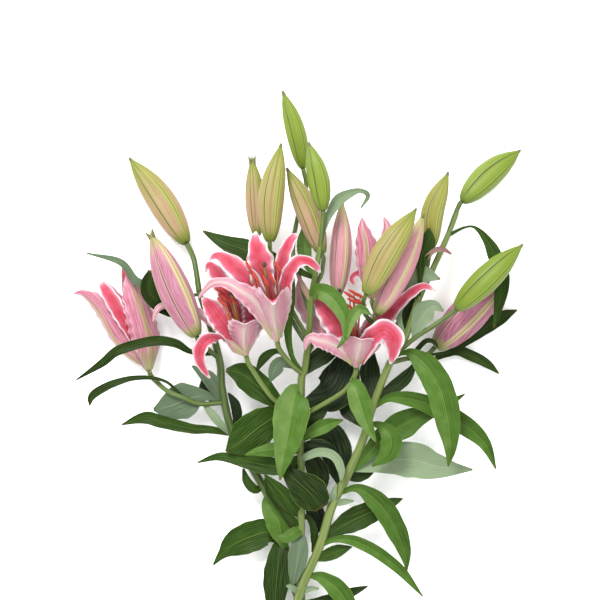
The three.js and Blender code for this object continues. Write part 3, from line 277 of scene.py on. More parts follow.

# Buds, numbered from 1 on through the stems that carry them: the axis from base to tip, the greatest width,
# the stalk from the stem, and how far a seam is turned from the top about the axis, in degrees. flush is how
# strong its pink is, spread how far its points stand from the axis, and skin the look that it wears where its
# colour alone doesn't say; the lighter copy of the pink skin is painted light, for pink buds that lie in
# shade under others. A bud that has begun to open has its tepals round a slim core, written as for the
# blooms below.
BUDS = {
    "stem_left": [
        dict(colour="flushed", width=29, turn=-6, flush=0.7,
            axis=[[-114, 357, 23], [-141, 402, 13.3], [-171, 442, 13.3]],
            stalk=[[-101, 308, 38, 6], [-104, 329, 35, 5.5], [-107, 343, 31, 5.5]]),
        dict(colour="pink", width=32.5, turn=22, flush=1.1, spread=5.5,
            axis=[[-103, 264, 66], [-126, 314, 67], [-149, 367, 64]],
            stalk=[[-82, 242, 31, 5], [-91, 250, 46, 5], [-98, 256, 59, 5]]),
        dict(colour="pink", width=22, turn=50, open=True,
            axis=[[-151, 228, 19], [-160, 252, 18], [-168, 276, 19]],
            stalk=[[-78, 197, 26, 5], [-101, 196, 30, 5], [-116, 202, 32, 5], [-133, 209, 28, 5],
                [-145, 219, 21, 5]],
            tepals=[
                dict(face=[0.65, 0.45, -0.6], cup=0.5, spine=[[-152, 231, 18, 8], [-172, 244, 18, 22],
                    [-187, 262, 19, 32], [-199, 283, 20, 32], [-209, 297, 21, 24], [-219, 305, 20, 11],
                    [-227, 306, 17, 2]]),
                dict(face=[-0.5, 0.1, -0.85], cup=0.5, spine=[[-150, 230, 22, 8], [-149, 246, 28, 24],
                    [-151, 263, 32, 32], [-160, 294, 35, 30], [-167, 314, 34, 20], [-173, 329, 30, 2]]),
                dict(face=[0.1, 0.2, -1], cup=0.4, spine=[[-152, 232, 18, 8], [-166, 260, 18, 14],
                    [-180, 288, 19, 18], [-190, 306, 20, 14], [-198, 318, 19, 3]]),
                dict(cup=0.4, spine=[[-152, 232, 21, 6], [-167, 260, 26, 8], [-181, 287, 29, 15],
                    [-192, 306, 30, 14], [-201, 319, 27, 3]]),
                dict(cup=0.3, spine=[[-156, 248, 12, 8], [-166, 285, 9, 16], [-174, 318, 10, 11],
                    [-178, 337, 9, 2]]),
            ]),
    ],
    "stem_centre": [
        dict(colour="flushed", width=20, turn=0, flush=0.8, spread=4.5,
            axis=[[-43, 364, 48], [-45, 404, 45], [-48, 442, 44]],
            stalk=[[7, 255, 63, 4.5], [-8, 280, 58, 4.5], [-30, 325, 50, 4.5], [-42, 350, 48, 4.5]]),
        dict(colour="flushed", width=26, turn=-8, flush=0.4,
            axis=[[-30, 358, 74], [-29, 402, 74], [-19, 455, 73]],
            stalk=[[8, 262, 66, 4.5], [-8, 290, 64, 4.5], [-22, 325, 68, 4.5], [-29, 346, 73, 4.5]]),
        dict(colour="green", width=20, turn=10,
            axis=[[3, 432, 44], [-4, 468, 51], [-17, 508, 56]],
            stalk=[[10, 285, 73, 4.5], [0, 320, 66, 4.5], [-7, 348, 50, 4.5], [-3, 380, 40, 4.5],
                [6, 412, 40, 4.5]]),
        dict(colour="green", width=22, turn=24,
            axis=[[23, 389, 85], [19, 420, 88], [9, 456, 90]],
            stalk=[[16, 329, 80, 5.5], [20, 353, 82, 5], [23, 378, 84, 5]]),
        dict(colour="flushed", width=24, turn=-22, flush=0.9,
            axis=[[22, 346, 61], [7, 388, 60], [-13, 431, 60]],
            stalk=[[14, 312, 78, 4.5], [21, 325, 71, 4.5], [23, 337, 64, 4.5]]),
        dict(colour="pink", skin="painted-lit pink", width=22, turn=60, flush=0.9,
            axis=[[37, 303, 46], [41, 350, 47], [42, 399, 50]],
            stalk=[[6, 242, 58, 4.5], [14, 258, 52, 4.5], [28, 280, 46, 4.5], [35, 294, 45.5, 4.5]]),
    ],
    "stem_right": [
        dict(colour="coral", skin="pink", width=16, turn=0, open=True,
            axis=[[72, 300, 47], [70, 318, 47], [68, 336, 47]],
            stalk=[[98, 250, 51, 4.5], [88, 266, 42, 4.5], [76, 287, 42, 4.5]],
            tepals=[
                dict(outer=True, cup=0.4, spine=[[72, 302, 49, 8], [70, 320, 52, 18], [67, 340, 54, 22],
                    [66, 356, 54, 21], [63, 371, 52, 12], [62, 382, 49, 2]]),
                dict(face=[0.3, 0, -1], cup=0.3, spine=[[74, 304, 46, 8], [80, 335, 46, 16],
                    [86, 360, 45, 14], [87, 373, 42, 9], [84, 383, 39, 2]]),
                dict(spine=[[69, 318, 45, 10], [61, 326, 43, 8], [55, 326, 43, 6], [51.5, 321, 44, 5],
                    [54, 315, 44, 3]]),
            ]),
        dict(colour="flushed", width=29, turn=4, flush=0.4,
            axis=[[66, 306, 100], [86, 346, 103], [115, 390, 104]],
            stalk=[[98, 250, 51, 4.5], [84, 264, 61, 4.5], [71, 278, 67, 4.5], [64, 288, 77, 4.5],
                [63, 298, 92, 4.5]]),
        dict(colour="pink", skin="painted-lit pink", width=26, turn=-40, flush=0.9,
            axis=[[76, 286, 74], [103, 338, 75], [123, 385, 75]],
            stalk=[[94, 245, 50, 4.5], [85, 258, 60, 4.5], [77, 272, 68, 4.5]]),
        dict(colour="flushed", width=23, turn=12, flush=0.1,
            axis=[[131, 352, 41], [133, 388, 44], [148, 427, 47]],
            stalk=[[127, 319, 50, 4.5], [127, 330, 46, 4.5], [129, 342, 42, 4.5]]),
        dict(colour="green", width=27, turn=20,
            axis=[[163, 399, 22], [192, 427, 12.4], [221, 450, 12.4]],
            stalk=[[149, 367, 34, 5.5], [155, 384, 28, 5]]),
        dict(colour="flushed", skin="green", width=27, turn=18, flush=0.6,
            axis=[[156, 291, 60], [189, 323, 62], [222, 355, 60]],
            stalk=[[98, 248, 51, 5], [116, 263, 54, 5], [133, 274, 57, 5], [146, 283, 59, 5]]),
        dict(colour="pink", width=37, turn=-18, flush=1.6,
            axis=[[136, 253, 18], [171, 289, 17.8], [208, 324, 20]],
            stalk=[[90, 237, 49, 5], [105, 241, 38, 5], [121, 243, 25, 5], [130, 247, 19, 5]]),
    ],
}

# Open blooms: the base and the way that each faces, its stalk, its six tepals from base to tip, and the
# ends of its stamens and of its pistil. lean is the way that the anthers lie. A tepal lies level, with its
# inner face upwards or, where it says outer, its outer face. One that stands up has the way that its inner
# face looks. A tepal with a roll is turned by that many degrees at its root, and not at all past its middle.
BLOOMS = [
    dict(name="bloom_upper_left", stem="stem_centre", base=[-23, 260, 80], facing=[-12, 53, 30],
        lean=[-0.42, 0.85, -0.3], stigma=[-36, 337, 122],
        stalk=[[3, 226, 52, 5], [-6, 233, 60, 5], [-15, 243, 68, 5], [-21, 252, 75, 5]],
        anthers=[[-51, 333, 112], [-44, 323, 118], [-22, 333, 113], [-28, 322, 118], [-38, 332, 110],
            [-34, 319, 120]],
        tepals=[
            dict(spine=[[-24, 263, 80, 7], [-30, 295, 92, 18], [-38, 325, 101, 25], [-40, 341, 104, 26],
                [-44, 357, 104, 14], [-44, 368, 99, 2]]),
            dict(spine=[[-25, 262, 80, 7], [-36, 291, 91, 18], [-48, 315, 100, 22], [-63, 331, 103, 21],
                [-75, 341, 101, 15], [-84, 344, 96, 7], [-91, 339, 89, 2]]),
            dict(outer=True, spine=[[-25, 262, 82, 7], [-35, 284, 97, 18], [-46, 300, 108, 22],
                [-60, 310, 112, 16], [-73, 317, 110, 11], [-88, 316, 104, 8], [-101, 302, 92, 2]]),
            dict(face=[0, 0.8, -0.5], cup=1.1, spine=[[-22, 261, 84, 9], [-25, 275, 98, 28],
                [-27, 288, 112, 36], [-27, 296, 124, 30], [-27, 299, 132, 20], [-26, 295, 138, 5]]),
            dict(spine=[[-21, 263, 80, 7], [-17, 295, 94, 12], [-13, 322, 103, 14], [-4, 337, 107, 13],
                [7, 339, 106, 10], [16, 333, 101, 7], [20, 327, 96, 2]]),
            dict(spine=[[-23, 263, 79, 7], [-23, 300, 87, 13], [-20, 330, 94, 15], [-14, 350, 96, 13],
                [-8, 361, 94, 9], [-2, 366, 89, 2]]),
        ]),
    dict(name="bloom_lower_left", stem="stem_centre", base=[-54, 246, 62], facing=[-14, 54, 32],
        lean=[-0.75, 0.6, -0.3], stigma=[-69, 309, 94],
        stalk=[[1, 186, 43, 5], [-24, 199, 50, 5], [-36, 213, 54, 5], [-46, 228, 57, 5], [-52, 238, 59, 5]],
        anthers=[[-80, 309, 88], [-76, 302, 91], [-72, 308, 86], [-67, 300, 91], [-78, 298, 93],
            [-66, 306, 86]],
        tepals=[
            dict(spine=[[-55, 249, 62, 7], [-62, 278, 67, 19], [-72, 305, 73, 21], [-82, 325, 76, 17],
                [-90, 335, 73, 8], [-94, 328, 68, 2]]),
            dict(spine=[[-56, 248, 63, 7], [-67, 262, 71, 17], [-77, 277, 77, 23], [-87, 291, 79, 20],
                [-94, 299, 77, 9], [-98, 302, 73, 2]]),
            dict(spine=[[-54, 249, 61, 7], [-49, 268, 66, 18], [-46, 284, 71, 24], [-50, 299, 73, 18],
                [-57, 311, 72, 3]]),
            dict(roll=-170, spine=[[-55, 247, 65, 7], [-66, 255, 74, 14], [-77, 262, 80, 15],
                [-87, 263, 83, 14], [-95, 259, 83, 14], [-100, 250, 80, 14], [-100, 240, 75, 11],
                [-96, 231, 69, 7], [-90, 222, 63, 2]]),
            dict(face=[0, 0.8, -0.5], cup=0.5, spine=[[-54, 247, 65, 8], [-56, 257, 75, 22],
                [-56, 267, 84, 31], [-55, 274, 91, 28], [-55, 276, 96, 12]]),
            dict(outer=True, spine=[[-55, 248, 62, 6], [-74, 266, 53, 10], [-95, 284, 47, 11],
                [-118, 293, 44.5, 8], [-134, 295, 48, 7], [-143, 290, 49.5, 6], [-147, 278, 48, 1.5]]),
        ]),
    dict(name="bloom_right", stem="stem_centre", base=[56, 234, 58], facing=[-2, 40, 28],
        lean=[-0.85, 0.4, -0.2], stigma=[38, 311, 84],
        stalk=[[1, 184, 42, 5], [20, 194, 47, 5], [44, 209, 53, 5], [54, 223, 56, 5]],
        anthers=[[49, 305, 82], [54, 307, 79], [60, 304, 79], [60, 298, 82], [53, 299, 86], [50, 293, 84]],
        tepals=[
            dict(outer=True, spine=[[54, 236, 57, 7], [40, 256, 57, 17], [24, 276, 56, 26], [9, 294, 54, 26],
                [2, 308, 51, 16], [-1, 320, 49, 3]]),
            dict(outer=True, spine=[[54, 237, 61, 7], [44, 248, 69, 15], [30, 257, 76, 18], [18, 260, 78, 14],
                [10, 262, 77.5, 9], [6, 256, 75, 6], [5, 250, 71, 2]]),
            dict(face=[0, 0.8, -0.5], cup=0.35, spine=[[56, 236, 62, 9], [57, 244, 70, 28], [59, 252, 77, 42],
                [60, 258, 82, 38], [61, 261, 86, 12]]),
            dict(spine=[[60, 237, 60, 8], [64, 251, 69, 18], [73, 264, 79, 20], [84, 270, 84, 22],
                [92, 263, 83, 23], [93, 250, 77, 14], [90, 236, 68, 2]]),
            dict(spine=[[59, 237, 57, 8], [66, 256, 53, 26], [78, 276, 53, 24], [97, 295, 59, 13],
                [112, 308, 63, 10], [124, 314, 64, 7], [135, 309, 61, 2]]),
            dict(spine=[[57, 238, 59, 8], [51, 256, 64, 25], [40, 275, 67, 32], [28, 290, 67, 27],
                [18, 299, 65, 13], [13, 304, 62, 2]]),
        ]),
]


# Curves

def unit(vectors):
    return vectors / np.linalg.norm(vectors, axis=-1, keepdims=True)


def follow(points, step):
    """Rows evenly spaced along a smooth curve through the points, the way it runs there, and its length."""
    knots = np.array(points, float)
    knots = np.vstack([2 * knots[0] - knots[1], knots, 2 * knots[-1] - knots[-2]])
    share = np.linspace(0, 1, CURVE_STEPS, endpoint=False)[:, None]
    stretches = []
    for before, start, end, after in zip(knots, knots[1:], knots[2:], knots[3:]):
        stretches.append(0.5 * (
            2 * start + (end - before) * share
            + (2 * before - 5 * start + 4 * end - after) * share ** 2
            + (3 * start - before - 3 * end + after) * share ** 3))
    fine = np.vstack([*stretches, knots[-2:-1]])
    gaps = np.linalg.norm(np.diff(fine[:, :3], axis=0), axis=1)
    reached = np.concatenate([[0], np.cumsum(gaps)])
    count = max(4, round(reached[-1] / step))
    wanted = np.linspace(0, reached[-1], count + 1)
    rows = np.column_stack([np.interp(wanted, reached, column) for column in fine.T])
    return rows, unit(np.gradient(rows[:, :3], axis=0)), reached[-1]


def level_side(along):
    """For each direction, the one square to it that lies level."""
    steep = np.abs(along[:, 2:]) > 0.9
    return unit(np.cross(along, np.where(steep, [1.0, 0.0, 0.0], UP)))


def place(points):
    """Table points as scene points in metres."""
    return (np.asarray(points, float)[..., :3] - [*BOX_MIDDLE, 0]) * MM


# Shapes: faces gathered for one piece, with what its materials read at their corners

class Shape:
    def __init__(self):
        self.points = []
        self.faces = []
        self.looks = []
        self.corners = []
        self.spans = []
        self.tones = []

    def add(self, points, tone):
        """Adds table points, none under the surface, and returns the number of the first."""
        first = len(self.points)
        placed = place(points).reshape(-1, 3)
        placed[:, 2] = np.maximum(placed[:, 2], 0)
        self.points.extend(placed.tolist())
        self.tones.extend([tone] * (len(self.points) - first))
        return first

    def face(self, numbers, corners, spans, look):
        self.faces.append(tuple(int(number) for number in numbers))
        self.corners.extend(corners)
        self.spans.extend(spans)
        self.looks.append(look)

    def grid(self, first, rows, columns, across, along, span, look, wrap=False, flip=False):
        """Quads over a grid of added points. across and along give each column's and row's place from 0
        to 1, and span the real width of each row and the whole length, in millimetres."""
        width_at, length = span
        for row in range(rows - 1):
            for column in range(columns if wrap else columns - 1):
                places = [(row, column), (row, column + 1), (row + 1, column + 1), (row + 1, column)]
                if flip:
                    places.reverse()
                numbers = [first + r * columns + c % columns for r, c in places]
                corners = [(across[c], along[r]) for r, c in places]
                spans = [((across[c] - 0.5) * width_at[r] / 100, along[r] * length / 100) for r, c in places]
                self.face(numbers, corners, spans, look)

    def fan(self, pole, ring, corner, look, flip=False):
        """Triangles from a ring of point numbers to a pole."""
        for here, there in zip(ring, ring[1:] + ring[:1]):
            numbers = (pole, there, here) if flip else (pole, here, there)
            self.face(numbers, [corner] * 3, [corner] * 3, look)


def blade(shape, spine, cup, thickness, across, step, side=None, turn=(0, 0), roll=0, looks=(0, 1),
          tone=0.5, margin=None):
    """A thin leaf or tepal along its line, closed, with its upper face in the first look. Gives back the
    places on that face, row by row, and the way that it looks in each row."""
    rows, along, length = follow(spine, step)
    right = level_side(along) if side is None else unit(side - (along @ side)[:, None] * along)
    out = np.cross(right, along)
    reach = np.linspace(0, 1, len(rows))[:, None]
    past = np.clip(reach / ROLL_REACH, 0, 1)
    angle = np.radians(turn[0] + (turn[1] - turn[0]) * reach + roll * (1 - past ** 2 * (3 - 2 * past)))
    right = right * np.cos(angle) - out * np.sin(angle)
    out = np.cross(right, along)
    shares = np.sin(np.linspace(-math.pi / 2, math.pi / 2, across + 1))
    width = np.maximum(rows[:, 3:4], LEAST_WIDTH)
    lift = cup * (0.7 * shares ** 2 + 0.3 * np.abs(shares)) * width / 2
    reach_out = shares * width / 2
    if margin is not None:
        wave, swell = margin(reach, shares, width)
        lift = lift + wave
        reach_out = reach_out * (1 + swell)
    centre = rows[:, None, :3] + right[:, None] * reach_out[..., None] + out[:, None] * lift[..., None]
    half = thickness / 2 * np.sqrt(1 - 0.85 * shares ** 2)
    half = half[None, :, None] * np.minimum(1, 0.25 + width / 6)[:, None]
    top = shape.add(centre + out[:, None] * half, tone)
    under = shape.add(centre - out[:, None] * half, tone)
    count, columns = len(rows), across + 1
    places = (shares + 1) / 2
    span = (width[:, 0], length)
    shape.grid(top, count, columns, places, reach[:, 0], span, looks[0])
    shape.grid(under, count, columns, places, reach[:, 0], span, looks[1], flip=True)
    rim = [top + row * columns for row in range(count)]
    rim += [top + (count - 1) * columns + column for column in range(1, columns)]
    rim += [top + row * columns + across for row in range(count - 2, -1, -1)]
    rim += [top + column for column in range(across - 1, 0, -1)]
    gap = under - top
    for here, there in zip(rim, rim[1:] + rim[:1]):
        row, column = divmod(here - top, columns)
        corner = (places[column], reach[row, 0])
        shape.face((here, there, there + gap, here + gap), [corner] * 4, [corner] * 4, looks[0])
    return centre + out[:, None] * half, out


def tube(shape, points, sides, step, look=0, tone=0.5, size=None, end_look=None):
    """A closed round length. size gives the share of the radius for each row and angle."""
    rows, along, length = follow(points, step)
    side = level_side(along)
    other = np.cross(along, side)
    angle = (np.arange(sides) + 0.5) / sides * 2 * math.pi
    reach = np.linspace(0, 1, len(rows))
    radius = rows[:, 3:4] / 2 * (np.ones((len(rows), sides)) if size is None else size(reach[:, None], angle))
    ring = side[:, None] * np.cos(angle)[None, :, None] + other[:, None] * np.sin(angle)[None, :, None]
    first = shape.add(rows[:, None, :3] + ring * radius[..., None], tone)
    across = np.linspace(0, 1, sides + 1)
    span = (rows[:, 3] * math.pi, length)
    shape.grid(first, len(rows), sides, across, reach, span, look, wrap=True, flip=True)
    poles = shape.add(rows[[0, -1], :3], tone)
    last = first + (len(rows) - 1) * sides
    ends = look if end_look is None else end_look
    shape.fan(poles, list(range(first, first + sides)), (0.5, 0), ends)
    shape.fan(poles + 1, list(range(last, last + sides)), (0.5, 1), ends, flip=True)


def piece(name, shape, materials, node):
    """Makes a scene object of the shape, riding on the bunch in the place of its CAD node."""
    mesh = bpy.data.meshes.new(name)
    mesh.from_pydata(shape.points, [], shape.faces)
    for material in materials:
        mesh.materials.append(material)
    mesh.polygons.foreach_set("material_index", shape.looks)
    mesh.polygons.foreach_set("use_smooth", [True] * len(mesh.polygons))
    for layer, values in (("Blade", shape.corners), ("Span", shape.spans)):
        mesh.uv_layers.new(name=layer).data.foreach_set("uv", np.array(values, float).ravel())
    mesh.attributes.new("tone", "FLOAT", "POINT").data.foreach_set("value", shape.tones)
    mesh.update()
    made = bpy.data.objects.new(name, mesh)
    bpy.context.scene.collection.objects.link(made)
    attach(made, "root")
    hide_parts(node)


# Materials. Each shade is a screen colour: red, green and blue from 0 to 255.

DIMMING = 0.455


def colour(red, green, blue):
    """A screen colour as the linear colour of a surface in this bright room."""
    shares = [value / 255 for value in (red, green, blue)]
    linear = [share / 12.92 if share < 0.04045 else ((share + 0.055) / 1.055) ** 2.4 for share in shares]
    return (*(value * DIMMING for value in linear), 1.0)


class Paint:
    """A Principled material, with short calls that add nodes to it."""

    def __init__(self, name, **settings):
        self.material = bpy.data.materials.new(name)
        self.material.use_nodes = True
        self.tree = self.material.node_tree
        self.shader = self.tree.nodes["Principled BSDF"]
        for socket, value in settings.items():
            self.shader.inputs[socket.replace("_", " ")].default_value = value

    def node(self, kind, settings=None, **inputs):
        made = self.tree.nodes.new(kind)
        for key, value in (settings or {}).items():
            setattr(made, key, value)
        for key, value in inputs.items():
            self.put(made.inputs[key.replace("_", " ")], value)
        return made

    def put(self, socket, value):
        if isinstance(value, bpy.types.NodeSocket):
            self.tree.links.new(value, socket)
        else:
            socket.default_value = value

    def math(self, operation, first, second=0.0):
        made = self.node("ShaderNodeMath", {"operation": operation})
        self.put(made.inputs[0], first)
        self.put(made.inputs[1], second)
        return made.outputs[0]

    def times(self, first, second):
        return self.math("MULTIPLY", first, second)

    def plus(self, first, second):
        return self.math("ADD", first, second)

    def minus(self, first, second):
        return self.math("SUBTRACT", first, second)

    def mix(self, share, first, second):
        """From the first to the second, each a shade or a node's colour."""
        made = self.node("ShaderNodeMix", {"data_type": "RGBA"})
        self.put(made.inputs[0], share)
        for number, value in ((6, first), (7, second)):
            self.put(made.inputs[number], colour(*value) if isinstance(value, tuple) else value)
        return made.outputs[2]

    def over(self, base, *layers):
        """The base with each layer over it in turn: its shade, where it lies and how strong it is there."""
        for shade, where, strength in layers:
            base = self.mix(self.times(where, strength), base, shade)
        return base

    def rise(self, value, low, high):
        """0 below low and 1 above high, smooth between. With low above high it falls."""
        made = self.node("ShaderNodeMapRange", {"interpolation_type": "SMOOTHSTEP"}, Value=value,
                         From_Min=low, From_Max=high)
        return made.outputs["Result"]

    def uv(self, layer):
        return self.node("ShaderNodeUVMap", {"uv_map": layer}).outputs["UV"]

    def places(self):
        """The place across a blade or round a tube, and along it, each from 0 to 1."""
        parts = self.node("ShaderNodeSeparateXYZ", Vector=self.uv("Blade"))
        return parts.outputs["X"], parts.outputs["Y"]

    def spot(self):
        return self.node("ShaderNodeTexCoord").outputs["Object"]

    def tone(self):
        return self.node("ShaderNodeAttribute", {"attribute_name": "tone"}).outputs["Fac"]

    def off_centre(self, across):
        """0 on the midrib and 1 at the margins."""
        return self.math("ABSOLUTE", self.minus(self.times(across, 2), 1))

    def noise(self, vector, scale, stretch=(1, 1, 1), detail=3.0):
        moved = self.node("ShaderNodeVectorMath", {"operation": "MULTIPLY"})
        self.put(moved.inputs[0], vector)
        self.put(moved.inputs[1], stretch)
        made = self.node("ShaderNodeTexNoise", Vector=moved.outputs[0], Scale=scale, Detail=detail)
        return made.outputs["Fac"]

    def ramp(self, value, stops):
        made = self.node("ShaderNodeValToRGB", Fac=value)
        while len(made.color_ramp.elements) < len(stops):
            made.color_ramp.elements.new(0.5)
        for element, (position, shade) in zip(made.color_ramp.elements, stops):
            element.position = position
            element.color = colour(*shade)
        return made.outputs["Color"]

    def lines(self, value, count, sharpness):
        """Thin lines, that many from 0 to 1."""
        wave = self.math("SINE", self.times(value, count * math.pi))
        return self.minus(1, self.math("POWER", self.math("ABSOLUTE", wave), sharpness))

    def bump(self, height, strength, distance=0.001):
        made = self.node("ShaderNodeBump", Height=height, Strength=strength, Distance=distance)
        self.put(self.shader.inputs["Normal"], made.outputs["Normal"])

    def finish(self, base, roughness=None):
        self.put(self.shader.inputs["Base Color"], base)
        if roughness is not None:
            self.put(self.shader.inputs["Roughness"], roughness)
        return self.material


def leaf_material(name, stops, vein, vein_share, gloss, raised):
    """A leaf's face with its long veins, which are raised, or sunk where raised is below 0."""
    paint = Paint(name, Specular_IOR_Level=0.07)
    across, along = paint.places()
    span = paint.uv("Span")
    out = paint.off_centre(across)
    cloud = paint.noise(span, 6)
    streak = paint.noise(span, 60, (1, 0.06, 1))
    # Painted light: the half of each leaf on one side of the midrib is painted lighter, as the lit half of a
    # folded leaf.
    painted_lit_half = paint.times(paint.rise(across, 0.46, 0.54), 0.09)
    tone = paint.plus(paint.tone(), paint.plus(paint.times(cloud, 0.3), painted_lit_half))
    veins = paint.times(paint.lines(across, 14, 0.35), paint.rise(out, 1.0, 0.8))
    # The veins fade on the darker tones, which are partly painted shade.
    vein_share = paint.times(paint.rise(paint.tone(), -0.12, 0.34), vein_share)
    green = paint.over(
        paint.ramp(paint.minus(tone, 0.1), stops),
        (vein, veins, vein_share), (vein, paint.rise(out, 0.07, 0.0), vein_share),
        (vein, paint.rise(streak, 0.4, 0.75), 0.12), (vein, paint.rise(out, 0.93, 1.0), 0.35),
        ((120, 100, 50), paint.rise(along, 0.96, 1.0), 0.7))
    paint.bump(paint.plus(paint.times(veins, raised), paint.times(streak, 0.15)), 0.35, 0.0006)
    return paint.finish(green, paint.plus(paint.times(cloud, 0.16), gloss))


def dried_material():
    paint = Paint("withered bract", Roughness=0.7)
    _, along = paint.places()
    streak = paint.noise(paint.uv("Span"), 40, (1, 0.1, 1))
    base = paint.mix(streak, (196, 178, 130), (150, 96, 92))
    base = paint.mix(paint.rise(along, 0.5, 1.0), base, (140, 90, 96))
    paint.bump(streak, 0.4)
    return paint.finish(base)


def stem_material():
    paint = Paint("stem skin", Specular_IOR_Level=0.2)
    span = paint.uv("Span")
    streak = paint.noise(span, 40, (1, 0.04, 1))
    cloud = paint.noise(span, 3)
    green = paint.ramp(paint.plus(paint.tone(), paint.times(cloud, 0.3)), [
        (0.0, (50, 72, 28)), (0.35, (78, 102, 42)), (0.7, (112, 132, 62)), (1.0, (148, 162, 92))])
    green = paint.over(green, ((176, 196, 120), paint.rise(streak, 0.35, 0.8), 0.45))
    paint.bump(streak, 0.3, 0.0008)
    return paint.finish(green, paint.plus(paint.times(cloud, 0.2), 0.3))


def cut_material():
    paint = Paint("cut end", Roughness=0.6)
    cells = paint.node("ShaderNodeTexVoronoi", Vector=paint.spot(), Scale=1500.0).outputs["Distance"]
    paint.bump(cells, 0.5)
    return paint.finish(paint.mix(paint.rise(cells, 0.1, 0.5), (150, 168, 96), (222, 228, 178)))


def bud_material(name, body, flush, share, rib, beside, seam, streaks, fade):
    """A closed bud's skin: three tepals, each with a light midrib, meeting at three seams, with painted shade
    in the grooves beside them. The flush fades towards the tip from the share of the length that fade gives."""
    paint = Paint(name, Specular_IOR_Level=0.22, Subsurface_Weight=0.12, Subsurface_Scale=0.004,
                  Subsurface_Radius=(1.0, 0.5, 0.35))
    around, along = paint.places()
    span = paint.uv("Span")
    out = paint.off_centre(paint.math("FRACT", paint.times(around, 3)))
    streak = paint.noise(span, 120, (1, 0.04, 1), 4.0)
    cloud = paint.noise(span, 5)
    middle = paint.times(paint.rise(along, 0.02, 0.16), paint.rise(along, 1.0, fade))
    flank = paint.times(paint.times(middle, paint.rise(out, 0.08, 0.34)), paint.tone())
    flushed = paint.times(flank, paint.plus(paint.times(cloud, 0.5), share))
    base = paint.over(
        paint.mix(flushed, body, flush),
        (streaks, paint.times(paint.rise(streak, 0.36, 0.66), flushed), 0.6),
        (beside, paint.times(paint.rise(out, 0.03, 0.08), paint.rise(out, 0.2, 0.1)), 0.6),
        (rib, paint.rise(out, 0.07, 0.02), 0.8),
        (beside, paint.times(paint.rise(out, 0.88, 0.93), paint.rise(out, 0.985, 0.96)), 0.6),
        # Painted shade: the broad darkening towards each seam paints the shade in its groove; the narrow dark
        # line after it is the seam's own colour.
        (seam, paint.rise(out, 0.8, 1.0), 0.3), (seam, paint.rise(out, 0.94, 0.98), 0.85),
        ((122, 146, 56), paint.rise(along, 0.14, 0.0), 0.8),
        ((128, 148, 54), paint.rise(along, 0.8, 1.0), 0.6))
    paint.bump(paint.plus(streak, paint.times(cloud, 0.3)), 0.35, 0.0008)
    return paint.finish(base, paint.plus(paint.times(cloud, 0.15), 0.36))


def tepal_inner_material():
    paint = Paint("tepal inner face", Roughness=0.55, Specular_IOR_Level=0.2, Subsurface_Weight=0.15,
                  Subsurface_Scale=0.003, Subsurface_Radius=(1.0, 0.4, 0.45), Sheen_Weight=0.1)
    across, along = paint.places()
    span = paint.uv("Span")
    out = paint.off_centre(across)
    cloud = paint.noise(span, 9)
    streak = paint.noise(span, 60, (1, 0.05, 1), 4.0)
    ragged = paint.plus(out, paint.times(paint.minus(cloud, 0.5), 0.2))
    ragged = paint.math("MAXIMUM", ragged, paint.rise(along, 0.78, 1.04))
    base = paint.ramp(ragged, [
        (0.0, (214, 58, 82)), (0.42, (220, 78, 104)), (0.66, (230, 112, 138)), (0.78, (242, 178, 194)),
        (0.86, (255, 250, 250))])
    veins = paint.times(paint.lines(across, 26, 0.6), paint.rise(cloud, 0.3, 0.7))
    throat = paint.times(paint.rise(along, 0.5, 0.12), paint.rise(out, 0.95, 0.5))
    rib = paint.times(paint.rise(out, 0.06, 0.0), paint.rise(along, 0.95, 0.5))
    nectary = paint.times(paint.rise(along, 0.16, 0.02), paint.rise(out, 0.7, 0.2))
    base = paint.over(
        base, ((246, 176, 190), veins, 0.5), ((212, 40, 56), throat, 0.6),
        ((204, 40, 74), paint.rise(streak, 0.42, 0.64), 0.4), ((176, 28, 62), rib, 0.45),
        ((186, 190, 110), nectary, 0.8))
    paint.bump(paint.plus(streak, cloud), 0.35, 0.0008)
    return paint.finish(base)


def tepal_outer_material():
    """On a bud's tepal, whose tone is 1, the pink is stronger and the midrib broader and green."""
    paint = Paint("tepal outer face", Roughness=0.5, Specular_IOR_Level=0.3, Subsurface_Weight=0.15,
                  Subsurface_Scale=0.003, Subsurface_Radius=(1.0, 0.5, 0.5), Sheen_Weight=0.1)
    across, along = paint.places()
    span = paint.uv("Span")
    out = paint.off_centre(across)
    cloud = paint.noise(span, 8)
    streak = paint.noise(span, 60, (1, 0.05, 1), 4.0)
    base = paint.ramp(paint.plus(out, paint.times(paint.minus(cloud, 0.5), 0.3)), [
        (0.0, (234, 200, 198)), (0.35, (226, 170, 180)), (0.7, (220, 148, 166)), (0.92, (238, 204, 212))])
    beside = paint.minus(out, paint.times(paint.tone(), 0.06))
    midrib = paint.times(paint.rise(beside, 0.14, 0.03), paint.rise(along, 1.0, 0.7))
    fine = paint.times(paint.tone(), paint.plus(paint.rise(streak, 0.4, 0.62), 0.2))
    base = paint.over(
        base, ((200, 100, 132), paint.rise(streak, 0.38, 0.66), 0.3), ((200, 96, 130), fine, 0.7),
        (paint.mix(paint.tone(), (228, 218, 194), (176, 164, 84)), midrib, 0.75),
        ((184, 190, 116), paint.rise(along, 0.3, 0.02), 0.8))
    paint.bump(paint.plus(streak, cloud), 0.35, 0.0008)
    return paint.finish(base)


def plain_material(name, first, second, scale, roughness):
    """A surface mottled between two shades."""
    paint = Paint(name)
    cloud = paint.noise(paint.spot(), scale)
    paint.bump(cloud, 0.5, 0.0005)
    return paint.finish(paint.mix(cloud, first, second), paint.plus(paint.times(cloud, 0.2), roughness - 0.1))


